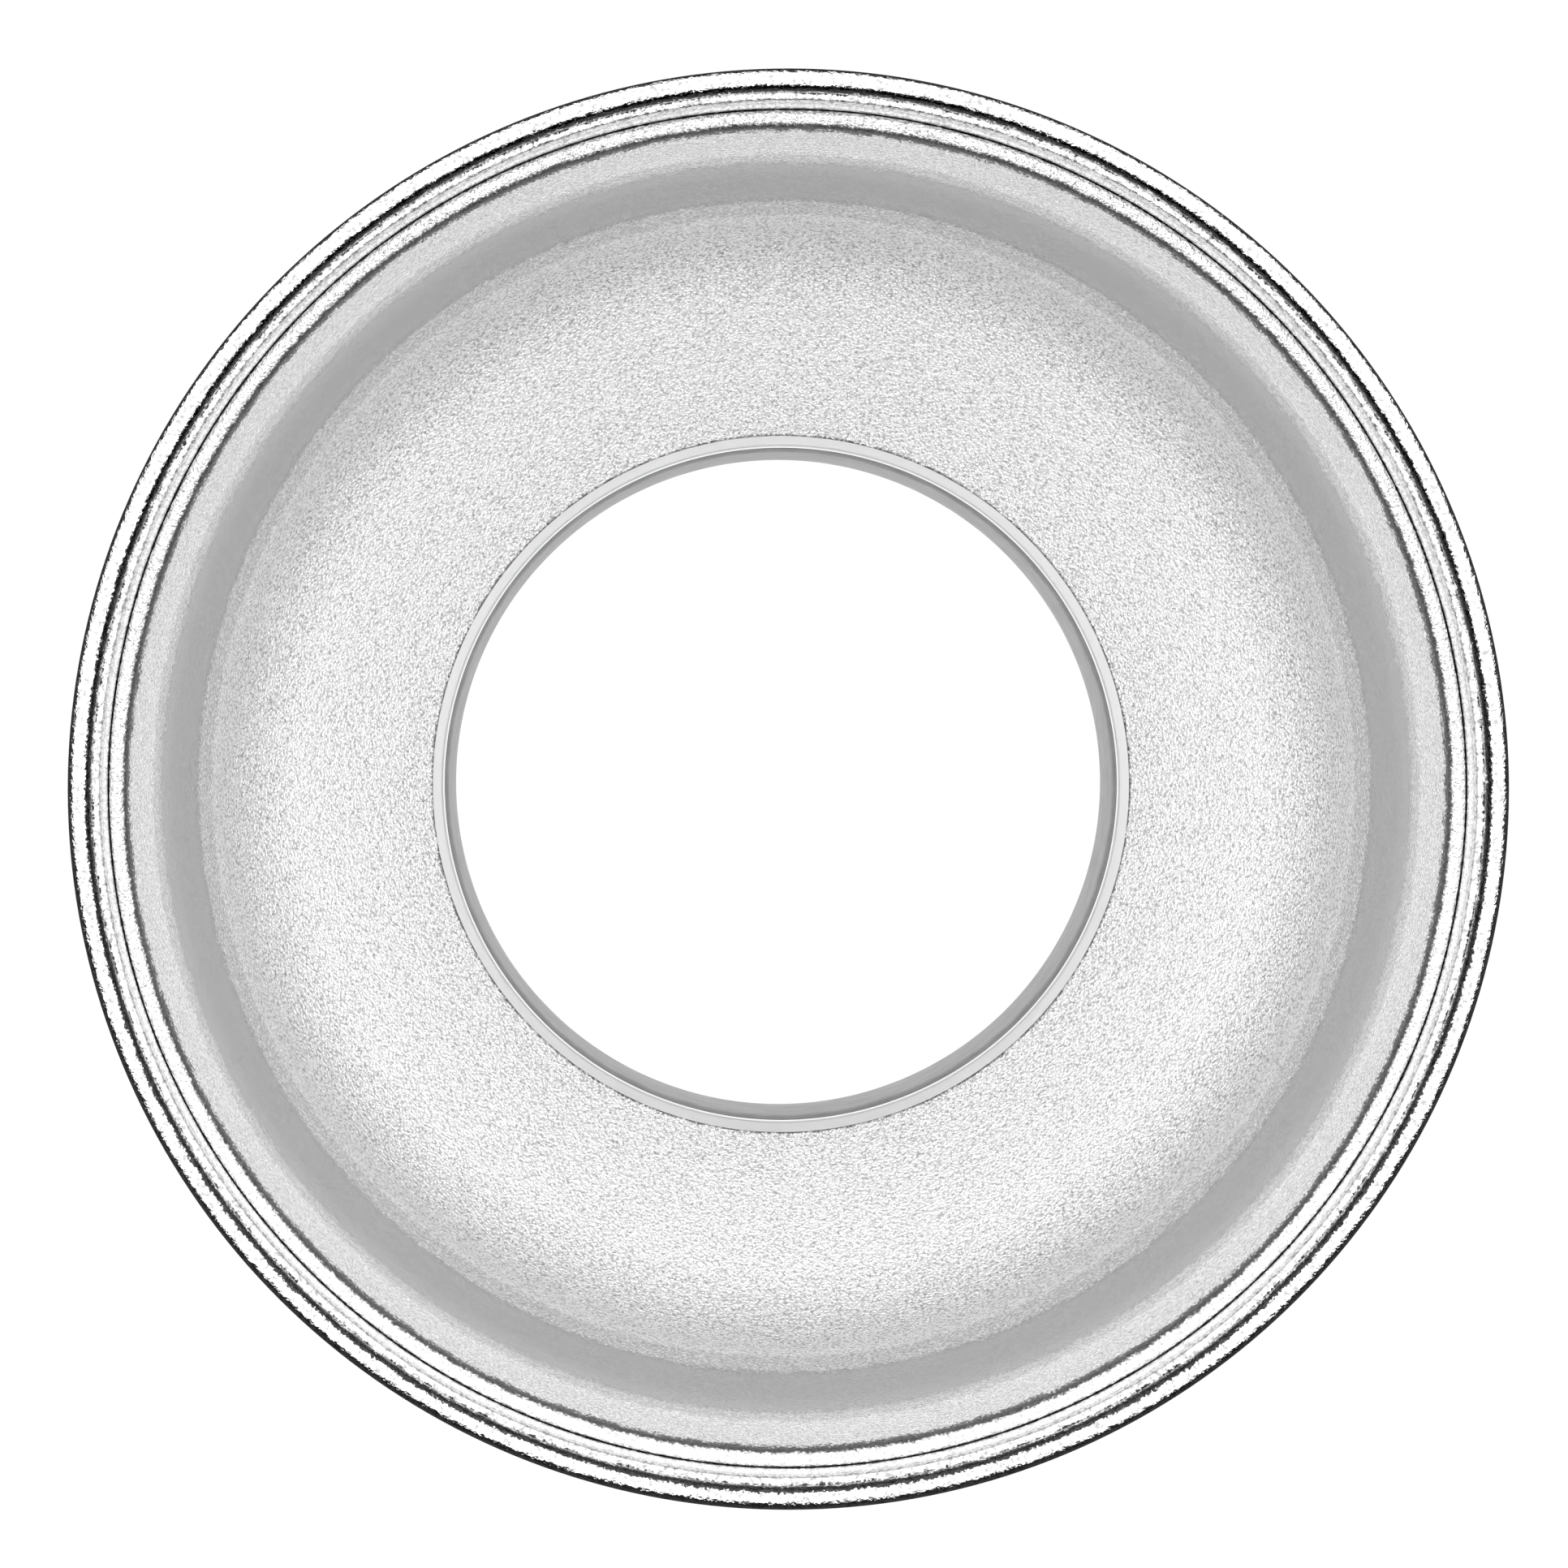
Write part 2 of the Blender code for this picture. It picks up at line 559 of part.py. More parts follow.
def main():
    for existing in list(bpy.data.objects):
        bpy.data.objects.remove(existing, do_unlink=True)
    hammered = material("hammered_aluminium", (0.86, 0.86, 0.87), 0.30, 1.0)
    black = material("black_paint", (0.03, 0.03, 0.032), 0.45, 0.0)
    rubber = material("grey_rubber", (0.42, 0.42, 0.43), 0.70, 0.0)
    steel = material("stainless_steel", (0.62, 0.62, 0.63), 0.30, 1.0)
    zinc = material("zinc_plated_steel", (0.70, 0.70, 0.72), 0.38, 1.0)
    reflector_bowl(hammered)
    front_ring(hammered)
    neck_collar(black)
    grip_sleeve(rubber)
    clamp_band(steel)
    latch_base(steel)
    catch_bracket(steel)
    rivets(zinc)
    lever_pins(zinc)
    latch_lever(black)
    trunnion(zinc)
    draw_bolt(zinc)
    nut_and_washer(zinc)


main()
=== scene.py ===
"""Studio flash reflector: the finished surfaces of the dish, its clamp collar and its latch.

Each piece is made by one operator of the panel in the 3D view's sidebar. Turned pieces are a section that a
Geometry Nodes tree turns around the dish's axis; the latch's pieces are made flat and bevelled.
"""
import json
import math

import bmesh
import bpy
from mathutils import Matrix, Vector


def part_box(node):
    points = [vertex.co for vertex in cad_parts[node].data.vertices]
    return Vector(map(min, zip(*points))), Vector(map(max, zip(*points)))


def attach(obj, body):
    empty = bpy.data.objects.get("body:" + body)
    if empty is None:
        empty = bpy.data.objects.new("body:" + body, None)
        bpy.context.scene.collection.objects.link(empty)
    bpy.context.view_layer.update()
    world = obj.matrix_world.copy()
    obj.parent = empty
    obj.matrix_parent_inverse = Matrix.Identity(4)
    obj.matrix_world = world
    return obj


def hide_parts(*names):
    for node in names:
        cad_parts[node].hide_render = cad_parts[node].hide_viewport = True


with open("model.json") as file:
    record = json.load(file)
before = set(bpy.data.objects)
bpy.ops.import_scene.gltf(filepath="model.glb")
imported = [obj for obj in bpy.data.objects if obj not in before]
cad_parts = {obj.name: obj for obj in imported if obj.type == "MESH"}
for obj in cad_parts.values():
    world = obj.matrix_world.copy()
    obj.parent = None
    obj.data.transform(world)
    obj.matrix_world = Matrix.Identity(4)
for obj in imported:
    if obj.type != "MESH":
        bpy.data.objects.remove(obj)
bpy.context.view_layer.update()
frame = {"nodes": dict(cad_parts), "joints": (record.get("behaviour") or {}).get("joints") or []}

bl_info = {
    "name": "Flash Reflector Dish",
    "version": (1, 0, 0),
    "blender": (4, 5, 0),
    "location": "View3D > Sidebar > Reflector",
    "description": "Builds a studio flash reflector with its clamp collar and latch",
    "category": "Add Mesh",
}

RING_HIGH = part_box("front_ring")[1]
BOWL_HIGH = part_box("reflector_bowl")[1]
SLEEVE_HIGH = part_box("grip_sleeve")[1]
BAND_LOW, BAND_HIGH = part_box("clamp_band")
JOINTS = {joint["name"]: joint for joint in frame["joints"]}
PIVOT_AT = Vector(JOINTS["lever_hinge"]["pos_m"])
TRUNNION_AT = Vector(JOINTS["bolt_swing"]["pos_m"])
GAP = 0.0003                 # between neighbours
WALL_SLOPE = 78.4            # degrees from level, steep outer wall of the bowl
FLOOR_SLOPE = 37.2           # degrees from level, its floor
BOWL_FILLET = 0.0226         # between them
HEM_GAP = 0.00008            # between the bowl's folded edge and the ring
BEAD_SWEEP = 255.0           # degrees that the rim is rolled through
NOISE_LOW, NOISE_HIGH = 0.3, 0.7      # nearly all of a noise texture lies between them
WHITE = (1, 1, 1, 1)
SHOWN = 1.02                          # strength of the floor and the sky in the camera's own view
CAMERA_LENS = 134.5
CAMERA_AT = (-0.0116, 0.0080, 0.789)  # from the middle of the mouth
CAMERA_AIM = (-0.00077, 0.00081, 0)


# ---- settings ----
def length(name, description, default):
    return bpy.props.FloatProperty(name=name, description=description, default=default, min=0.0,
                                   unit="LENGTH", precision=5)


def colour(name, description, default):
    return bpy.props.FloatVectorProperty(name=name, description=description, default=default, size=3,
                                         min=0.0, max=1.0, subtype="COLOR")


class DishSizes(bpy.types.PropertyGroup):
    height: length("Height", "Neck's rear end to the crown of the rim", RING_HIGH.z)
    rim_radius: length("Rim radius", "Outside of the rolled rim", RING_HIGH.x - 0.00001)
    bead_radius: length("Bead radius", "Section of the rolled rim", 0.0016)
    sheet: length("Sheet", "Thickness of the spun aluminium", 0.0008)
    seat_radius: length("Seat radius", "Foot of the grid seat's wall", 0.0928)
    seat_depth: length("Seat depth", "Crown of the rim to the hem", RING_HIGH.z - BOWL_HIGH.z)
    ledge_depth: length("Ledge depth", "Crown of the rim to the ledge", 0.0026)
    hem_width: length("Hem width", "Bowl's folded edge", 0.0021)
    hem_length: length("Hem length", "Leg of the fold", 0.0062)
    bowl_depth: length("Bowl depth", "Crown of the rim to the bowl's inner edge", 0.0860)
    facets: bpy.props.IntProperty(name="Facets", description="Facets around the dish", default=288, min=24)


class NeckSizes(bpy.types.PropertyGroup):
    bore_radius: length("Bore radius", "Inside of the grip sleeve", 0.0500)
    lip_width: length("Lip width", "Collar that shows inside the bowl's edge", 0.0016)
    collar_wall: length("Collar wall", "Thickness of the collar", 0.0012)
    flange_width: length("Flange width", "Flange behind the bowl", 0.0090)
    sleeve_wall: length("Sleeve wall", "Thickness of the rubber", 0.0023)
    sleeve_top: length("Sleeve top", "Height of the sleeve's front end", SLEEVE_HIGH.z)
    slot_width: length("Slot width", "Between two fingers of the collar", 0.0030)
    slot_length: length("Slot length", "From the fingers' ends", 0.0222)
    slots: bpy.props.IntProperty(name="Slots", description="Slots around the collar", default=8, min=1)
    end_lip: length("End lip", "Fingers' ends, turned out", 0.0024)
    band_wall: length("Band wall", "Thickness of the clamp band", 0.0008)


class LatchSizes(bpy.types.PropertyGroup):
    plate: length("Plate", "Sheet of the brackets and the lever", 0.0012)
    rivet_head: length("Rivet head", "Radius of a rivet's head", 0.0021)
    bolt_radius: length("Bolt radius", "Draw bolt, over its thread", 0.0018)
    pitch: length("Pitch", "Thread of the draw bolt", 0.0007)
    bar_radius: length("Bar radius", "Cross bar at the bolt's end", 0.0025)
    nut_radius: length("Nut radius", "Adjuster nut, over its flutes", 0.0043)
    lever_half: length("Lever half height", "Half the lever's height along its handle", 0.0031)
    lever_eye: length("Lever eye", "Round end of the lever", 0.0046)


class Finishes(bpy.types.PropertyGroup):
    aluminium: colour("Aluminium", "Bare aluminium of the bowl and the ring", (0.93, 0.93, 0.932))
    paint: colour("Paint", "Black paint on the back", (0.030, 0.030, 0.032))
    rubber: colour("Rubber", "Grip sleeve", (0.42, 0.42, 0.425))
    steel: colour("Steel", "Band and brackets", (0.60, 0.60, 0.61))
    zinc: colour("Zinc", "Plated pins, rivets and bolt", (0.68, 0.69, 0.71))
    lever: colour("Lever", "Coat of the lever", (0.020, 0.020, 0.022))


def sizes():
    scene = bpy.context.scene
    return scene.dish_sizes, scene.neck_sizes, scene.latch_sizes, scene.dish_finishes


# ---- nodes ----
def add(tree, kind, inputs=None, **settings):
    """A node with its settings, and its inputs as values or as links."""
    made = tree.nodes.new(kind)
    for key, value in settings.items():
        setattr(made, key, value)
    for key, value in (inputs or {}).items():
        if isinstance(value, bpy.types.NodeSocket):
            tree.links.new(value, made.inputs[key])
        else:
            made.inputs[key].default_value = value
    return made


def put(tree, kind, inputs=None, **settings):
    """The first output of a new node."""
    return add(tree, kind, inputs, **settings).outputs[0]


def math_node(tree, operation, *values):
    return put(tree, "ShaderNodeMath", dict(enumerate(values)), operation=operation)


def new_material(name):
    """A cleared material, its node tree, and the object's own coordinates in it."""
    made = bpy.data.materials.get(name) or bpy.data.materials.new(name)
    made.use_nodes = True
    made.node_tree.nodes.clear()
    return made, made.node_tree, add(made.node_tree, "ShaderNodeTexCoord").outputs["Object"]


def finish_material(tree, colour, roughness, metallic, height, distance):
    """Principled shader with a bump, into the output."""
    bump = put(tree, "ShaderNodeBump", {"Height": height, "Distance": distance, "Strength": 1.0})
    shader = put(tree, "ShaderNodeBsdfPrincipled", {"Base Color": colour, "Roughness": roughness,
                                                    "Metallic": metallic, "Normal": bump})
    add(tree, "ShaderNodeOutputMaterial", {"Surface": shader})


def scaled(tree, vector, factors):
    return put(tree, "ShaderNodeVectorMath", {0: vector, 1: factors}, operation="MULTIPLY")


def noise(tree, vector, scale, detail=2.0, roughness=0.5):
    inputs = {"Vector": vector, "Scale": scale, "Detail": detail, "Roughness": roughness}
    return put(tree, "ShaderNodeTexNoise", inputs)


def axis_distance(tree, vector):
    flat = scaled(tree, vector, (1, 1, 0))
    return add(tree, "ShaderNodeVectorMath", {0: flat}, operation="LENGTH").outputs["Value"]


def remap(tree, value, low, high, to_low, to_high):
    inputs = {"Value": value, "From Min": low, "From Max": high, "To Min": to_low, "To Max": to_high}
    return put(tree, "ShaderNodeMapRange", inputs)


def spread(tree, value, low, high):
    """A noise value spread over a range."""
    return remap(tree, value, NOISE_LOW, NOISE_HIGH, low, high)


def ramp(tree, value, stops):
    """Grey levels between stops, each (place in the value's own units, level)."""
    low, high = stops[0][0], stops[-1][0]
    made = add(tree, "ShaderNodeValToRGB", {"Fac": remap(tree, value, low, high, 0.0, 1.0)})
    points = made.color_ramp.elements
    points.remove(points[1])
    for at, level in stops:
        point = points.new((at - low) / (high - low)) if at > low else points[0]
        point.color = (level, level, level, 1)
    return made.outputs["Color"]


def tinted(tree, colour, level):
    """A colour times a grey level."""
    made = add(tree, "ShaderNodeMix", {"Factor": 1.0}, data_type="RGBA", blend_type="MULTIPLY")
    made.inputs["A"].default_value = (*colour, 1)
    tree.links.new(level, made.inputs["B"])
    return made.outputs["Result"]


# ---- materials ----
def ragged_radius(tree, where, reach):
    """Distance from the dish's axis, with a fine wander so that bands get ragged edges."""
    fine = spread(tree, noise(tree, where, 2400.0, 2.0, 0.6), -reach, reach)
    slow = spread(tree, noise(tree, where, 380.0), -reach / 2, reach / 2)
    return math_node(tree, "ADD", axis_distance(tree, where), math_node(tree, "ADD", fine, slow))


def pebbled(tree, where):
    """Height of the fine pebble grain rolled into the sheet."""
    grain = put(tree, "ShaderNodeTexVoronoi", {"Vector": where, "Scale": 3000.0, "Randomness": 1.0},
                feature="SMOOTH_F1")
    lumps = noise(tree, where, 2300.0, 2.0, 0.65)
    return math_node(tree, "ADD", math_node(tree, "MULTIPLY", grain, 0.6), lumps)


def bowl_metal(finish):
    """Bright aluminium whose grain and brightness change in steps from the mouth to the neck; its dark rings
    are painted shade, and its grey steps on the wall and knee are a darker finish with painted reflection
    shade in it.
    """
    made, tree, where = new_material("Pebbled bowl aluminium")
    radius = ragged_radius(tree, where, 0.00020)
    # Painted shade: the dark rings at the bowl's inner edge against the collar lip (0.0500 to 0.0521) and in
    # the groove inside the folded edge (0.0901 to 0.0907). The grey steps on the wall and knee (0.0821 to
    # 0.0878) are a darker finish that also holds painted reflection shade.
    level = ramp(tree, radius, [
        (0.0500, 0.10), (0.0521, 0.12), (0.0523, 0.98), (0.0730, 1.0), (0.0775, 1.0), (0.0781, 0.98),
        (0.0808, 1.0), (0.0812, 1.0), (0.0819, 1.0), (0.0821, 0.79), (0.0833, 0.76), (0.0836, 0.47),
        (0.0845, 0.43), (0.0858, 0.42), (0.08695, 0.48), (0.0871, 0.73), (0.0878, 0.78), (0.0880, 1.0),
        (0.0900, 1.0), (0.0901, 0.10), (0.0907, 0.12), (0.0909, 1.0), (0.0930, 1.0)])
    grain = ramp(tree, radius, [
        (0.0520, 1.0), (0.0600, 0.85), (0.0720, 0.80), (0.0730, 0.95), (0.0780, 1.0), (0.0811, 0.95),
        (0.0820, 0.75), (0.0834, 0.65), (0.0836, 0.32), (0.0846, 0.18), (0.0870, 0.18), (0.0872, 0.40),
        (0.0900, 0.55), (0.0904, 0.85), (0.0930, 0.60)])
    dull = ramp(tree, radius, [
        (0.0520, 0.24), (0.0720, 0.20), (0.0811, 0.20), (0.0815, 0.22), (0.0846, 0.18), (0.0902, 0.20),
        (0.0905, 0.16), (0.0930, 0.14)])
    height = math_node(tree, "MULTIPLY", pebbled(tree, where), grain)
    flecks = spread(tree, noise(tree, where, 2200.0, 2.0, 0.6), -0.52, 0.54)
    sparkle = math_node(tree, "ADD", math_node(tree, "MULTIPLY", flecks, grain), 1.0)
    level = scaled(tree, level, sparkle)
    patches = spread(tree, noise(tree, where, 60.0, 3.0, 0.6), -0.02, 0.02)
    rough = math_node(tree, "ADD", dull, patches)
    finish_material(tree, tinted(tree, finish.aluminium, level), rough, 0.85, height, 0.00036)
    return made


def ring_metal(finish):
    """The ring's aluminium: sparkling rim and ledge, a dark ring of painted shade at the bead's foot, and a
    seat wall drawn into fine streaks.
    """
    made, tree, where = new_material("Rolled ring aluminium")
    radius = axis_distance(tree, where)
    on_wall = ramp(tree, radius, [(0.0920, 1.0), (0.0930, 1.0), (0.0932, 0.0)])
    streaks = noise(tree, scaled(tree, where, (1.0, 1.0, 0.03)), 900.0, 3.0, 0.6)
    grain = noise(tree, where, 1500.0, 2.0, 0.55)
    faint = math_node(tree, "MULTIPLY", streaks, 0.25)
    mix = add(tree, "ShaderNodeMix", {"Factor": on_wall, "A": grain, "B": faint}, data_type="FLOAT")
    # Painted shade: the near-black ring at the foot of the bead (0.0941 to 0.0948), where the bead meets the
    # ledge.
    level = ramp(tree, ragged_radius(tree, where, 0.00024), [
        (0.0920, 1.0), (0.0930, 1.0), (0.0931, 0.90), (0.0936, 0.88), (0.0939, 1.0), (0.0940, 1.0),
        (0.0941, 0.06), (0.0948, 0.06), (0.0949, 1.0), (0.0970, 1.0)])
    flecks = remap(tree, noise(tree, where, 1700.0, 2.0, 0.6), 0.34, 0.54, 0.48, 1.08)
    level = scaled(tree, level, flecks)
    dull = ramp(tree, radius, [
        (0.0920, 0.20), (0.0930, 0.20), (0.0932, 0.30), (0.0940, 0.30), (0.0943, 0.14)])
    finish_material(tree, tinted(tree, finish.aluminium, level), dull, 1.0, mix.outputs["Result"], 0.00018)
    return made


def lip_metal(finish):
    made, tree, where = new_material("Smooth lip aluminium")
    cloud = spread(tree, noise(tree, where, 90.0, 3.0, 0.6), 0.30, 0.36)
    turning = noise(tree, scaled(tree, where, (40.0, 40.0, 9000.0)), 1.0, 2.0, 0.5)
    finish_material(tree, (*finish.aluminium, 1), cloud, 1.0, turning, 0.000004)
    return made


def black_paint(finish, name="Black paint", base=None):
    made, tree, where = new_material(name)
    peel = noise(tree, where, 900.0, 3.0, 0.55)
    dust = remap(tree, noise(tree, where, 75.0, 4.0, 0.6), 0.35, 0.75, 0.8, 1.6)
    rough = spread(tree, noise(tree, where, 260.0, 4.0, 0.6), 0.38, 0.50)
    finish_material(tree, tinted(tree, base or finish.paint, dust), rough, 0.0, peel, 0.00004)
    return made


def grey_rubber(finish):
    made, tree, where = new_material("Mottled grey rubber")
    mottle = spread(tree, noise(tree, where, 210.0, 4.0, 0.65), 0.86, 1.12)
    skin = noise(tree, where, 2600.0, 2.0, 0.6)
    rough = spread(tree, noise(tree, where, 500.0), 0.62, 0.74)
    finish_material(tree, tinted(tree, finish.rubber, mottle), rough, 0.0, skin, 0.00003)
    return made


def brushed_steel(finish):
    """Steel brushed along the band: lines that run around the neck."""
    made, tree, where = new_material("Brushed band steel")
    lines = noise(tree, scaled(tree, where, (60.0, 60.0, 9000.0)), 1.0, 4.0, 0.65)
    rough = spread(tree, lines, 0.22, 0.40)
    finish_material(tree, (*finish.steel, 1), rough, 1.0, lines, 0.00001)
    return made


def satin_steel(finish):
    made, tree, where = new_material("Satin bracket steel")
    grain = noise(tree, scaled(tree, where, (1.0, 1.0, 0.2)), 3200.0, 3.0, 0.6)
    rough = spread(tree, noise(tree, where, 380.0, 4.0, 0.6), 0.24, 0.38)
    finish_material(tree, (*finish.steel, 1), rough, 1.0, grain, 0.00001)
    return made


def plated_zinc(finish):
    made, tree, where = new_material("Zinc plating")
    cloud = noise(tree, where, 650.0, 4.0, 0.6)
    level = spread(tree, cloud, 0.88, 1.05)
    rough = spread(tree, cloud, 0.36, 0.24)
    finish_material(tree, tinted(tree, finish.zinc, level), rough, 1.0, cloud, 0.00001)
    return made


# ---- sections ----
def turned(vector, angle):
    c, s = math.cos(angle), math.sin(angle)
    return Vector((c * vector.x - s * vector.y, s * vector.x + c * vector.y))


def arc(centre, radius, start, end, steps):
    """Points of an arc between two angles in degrees."""
    angles = [math.radians(start + (end - start) * i / steps) for i in range(steps + 1)]
    return [(centre[0] + radius * math.cos(a), centre[1] + radius * math.sin(a)) for a in angles]


def rounded(corners, radii, steps=6):
    """A polyline whose inner corners are replaced with arcs of the given radii."""
    points = [Vector(corners[0])]
    for before, corner, after, radius in zip(corners, corners[1:], corners[2:], radii):
        corner = Vector(corner)
        back = (Vector(before) - corner).normalized()
        ahead = (Vector(after) - corner).normalized()
        half = back.angle(ahead) / 2
        reach = min(radius / math.tan(half), 0.48 * (Vector(before) - corner).length,
                    0.48 * (Vector(after) - corner).length)
        radius = reach * math.tan(half)
        centre = corner + (back + ahead).normalized() * (radius / math.sin(half))
        start = corner + back * reach - centre
        turn = start.angle_signed(corner + ahead * reach - centre)
        for i in range(steps + 1):
            points.append(centre + turned(start, -turn * i / steps))
    points.append(Vector(corners[-1]))
    return points


def side(path, distance):
    """The path moved to its left by a distance, with mitred corners."""
    normals = []
    for a, b in zip(path, path[1:]):
        along = (b - a).normalized()
        normals.append(Vector((-along.y, along.x)))
    moved = [path[0] + normals[0] * distance]
    for point, a, b in zip(path[1:-1], normals, normals[1:]):
        moved.append(point + (a + b) * (distance / (1 + a.dot(b))))
    moved.append(path[-1] + normals[-1] * distance)
    return moved


def strip(path, wall):
    """Closed section of a sheet whose middle follows the path, with softened ends."""
    soft = wall * 0.2
    left, right = side(path, wall / 2), side(path, -wall / 2)
    first, last = (path[1] - path[0]).normalized(), (path[-1] - path[-2]).normalized()
    starts = [right[0] + first * soft, right[0].lerp(left[0], 0.2), right[0].lerp(left[0], 0.8),
              left[0] + first * soft]
    ends = [left[-1] - last * soft, left[-1].lerp(right[-1], 0.2), left[-1].lerp(right[-1], 0.8),
            right[-1] - last * soft]
    return starts + left[1:-1] + ends + right[1:-1][::-1]


def split_long(path, longest):
    """The path with its long straight runs divided."""
    points = [path[0]]
    for a, b in zip(path, path[1:]):
        parts = max(1, math.ceil((b - a).length / longest))
        points += [a.lerp(b, i / parts) for i in range(1, parts + 1)]
    return points


def crossing(a, slope_a, b, slope_b):
    ta, tb = math.tan(math.radians(slope_a)), math.tan(math.radians(slope_b))
    r = (b[1] - a[1] + ta * a[0] - tb * b[0]) / (ta - tb)
    return r, a[1] + ta * (r - a[0])


def behind_floor(dish, neck, distance):
    """The point a distance behind the bowl's inner edge, square to its floor."""
    slope = math.radians(FLOOR_SLOPE)
    edge = neck.bore_radius + GAP + neck.lip_width
    return edge + distance * math.sin(slope), dish.height - dish.bowl_depth - distance * math.cos(slope)


# ---- turning with Geometry Nodes ----
def new_object(name, data):
    made = bpy.data.objects.new(name, data)
    bpy.context.collection.objects.link(made)
    return made


def node_group(name, output, **sockets):
    """A Geometry Nodes tree with its sockets, and the sockets it is given."""
    tree = bpy.data.node_groups.new(name, "GeometryNodeTree")
    for key, kind in sockets.items():
        tree.interface.new_socket(key.replace("_", " "), in_out="INPUT", socket_type="NodeSocket" + kind)
    tree.interface.new_socket(output, in_out="OUTPUT", socket_type="NodeSocketGeometry")
    return tree, add(tree, "NodeGroupInput").outputs


def finished(tree, output, geometry, finish):
    """Realizes the geometry with its material, into the tree's output."""
    real = put(tree, "GeometryNodeRealizeInstances", {"Geometry": geometry})
    done = put(tree, "GeometryNodeSetMaterial", {"Geometry": real, "Material": finish})
    add(tree, "NodeGroupOutput", {output: done})


def section_tree():
    """Turns a closed section around the dish's axis; faces that look outwards below the back height get the
    second material.
    """
    tree, given = node_group("Turned section", "Turned", Section="Geometry", Facets="Int",
                             Path_Radius="Float", Front="Material", Back="Material", Back_Height="Float")
    profile = put(tree, "GeometryNodeMeshToCurve", {"Mesh": given["Section"]})
    circle = put(tree, "GeometryNodeCurvePrimitiveCircle",
                 {"Resolution": given["Facets"], "Radius": given["Path Radius"]})
    sweep = put(tree, "GeometryNodeCurveToMesh", {"Curve": circle, "Profile Curve": profile})
    smooth = put(tree, "GeometryNodeSetShadeSmooth", {"Geometry": sweep})
    real = put(tree, "GeometryNodeRealizeInstances", {"Geometry": smooth})
    front = put(tree, "GeometryNodeSetMaterial", {"Geometry": real, "Material": given["Front"]})
    spot = put(tree, "GeometryNodeInputPosition")
    normal = put(tree, "GeometryNodeInputNormal")
    outward = add(tree, "ShaderNodeVectorMath", {0: scaled(tree, spot, (1, 1, 0)), 1: normal},
                  operation="DOT_PRODUCT").outputs["Value"]
    behind = put(tree, "FunctionNodeCompare", {"A": outward, "B": 0.01}, data_type="FLOAT",
                 operation="GREATER_THAN")
    height = add(tree, "ShaderNodeSeparateXYZ", {0: spot}).outputs["Z"]
    low = put(tree, "FunctionNodeCompare", {"A": height, "B": given["Back Height"]}, data_type="FLOAT",
              operation="LESS_THAN")
    both = put(tree, "FunctionNodeBooleanMath", {0: behind, 1: low}, operation="AND")
    back = put(tree, "GeometryNodeSetMaterial", {"Geometry": front, "Selection": both,
                                                 "Material": given["Back"]})
    add(tree, "NodeGroupOutput", {"Turned": back})
    return tree


def bake(piece):
    """The piece's evaluated mesh in place of its modifiers, smooth but for its crisp edges."""
    graph = bpy.context.evaluated_depsgraph_get()
    graph.update()
    mesh = bpy.data.meshes.new_from_object(piece.evaluated_get(graph))
    mesh.name = piece.name
    piece.modifiers.clear()
    piece.data = mesh
    mesh.shade_smooth()
    mesh.set_sharp_from_angle(angle=math.radians(32))
    return piece


def with_nodes(piece, tree, **inputs):
    modifier = piece.modifiers.new(tree.name, "NODES")
    modifier.node_group = tree
    sockets = {item.name: item.identifier for item in tree.interface.items_tree if item.in_out == "INPUT"}
    for name, value in inputs.items():
        modifier[sockets[name.replace("_", " ")]] = value


def turn_section(name, section, facets, front, back=None, back_height=0.0):
    """A closed section of (radius, height) points turned around the dish's axis."""
    path_radius = 0.010
    mesh = bpy.data.meshes.new(name)
    count = len(section)
    mesh.from_pydata([(p[0] - path_radius, -p[1], 0) for p in section],
                     [(i, (i + 1) % count) for i in range(count)], [])
    piece = new_object(name, mesh)
    tree = bpy.data.node_groups.get("Turned section") or section_tree()
    with_nodes(piece, tree, Facets=facets, Path_Radius=path_radius, Front=front, Back=back or front,
               Back_Height=back_height)
    return piece


def hand_over(piece, body, slot, *nodes):
    """Rides the piece on its body and hides the CAD nodes it stands for; the slot is not used."""
    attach(piece, body)
    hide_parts(*nodes)


# ---- flat shapes ----
def add_shell(bm, loops, closed):
    rows = [[bm.verts.new(p) for p in loop] for loop in loops]
    pairs = list(zip(rows, rows[1:])) + ([(rows[-1], rows[0])] if closed else [])
    for one, two in pairs:
        for i in range(len(one)):
            j = (i + 1) % len(one)
            bm.faces.new((one[i], one[j], two[j], two[i]))
    if not closed:
        bm.faces.new(rows[0])
        bm.faces.new(rows[-1])


def shell_object(name, shells, *materials):
    """An object from one or more shells, each (loops, closed)."""
    bm = bmesh.new()
    for loops, closed in shells:
        add_shell(bm, loops, closed)
    bmesh.ops.recalc_face_normals(bm, faces=bm.faces)
    mesh = bpy.data.meshes.new(name)
    bm.to_mesh(mesh)
    bm.free()
    piece = new_object(name, mesh)
    for material in materials:
        mesh.materials.append(material)
    return piece


def boolean(piece, shells, operation):
    tool = shell_object("Tool", shells)
    step = piece.modifiers.new("Boolean", "BOOLEAN")
    step.solver, step.operation, step.object = "EXACT", operation, tool
    return tool


def bevelled(piece, width, *tools):
    """Bevels the hard edges, bakes the piece, and clears the tools away."""
    bevel = piece.modifiers.new("Bevel", "BEVEL")
    bevel.width, bevel.segments, bevel.limit_method = width, 2, "ANGLE"
    bevel.angle_limit = math.radians(40)
    bevel.use_clamp_overlap = True
    bake(piece)
    for tool in tools:
        bpy.data.objects.remove(tool)
    return piece


def circle_angles(sides):
    return [2 * math.pi * i / sides for i in range(sides)]


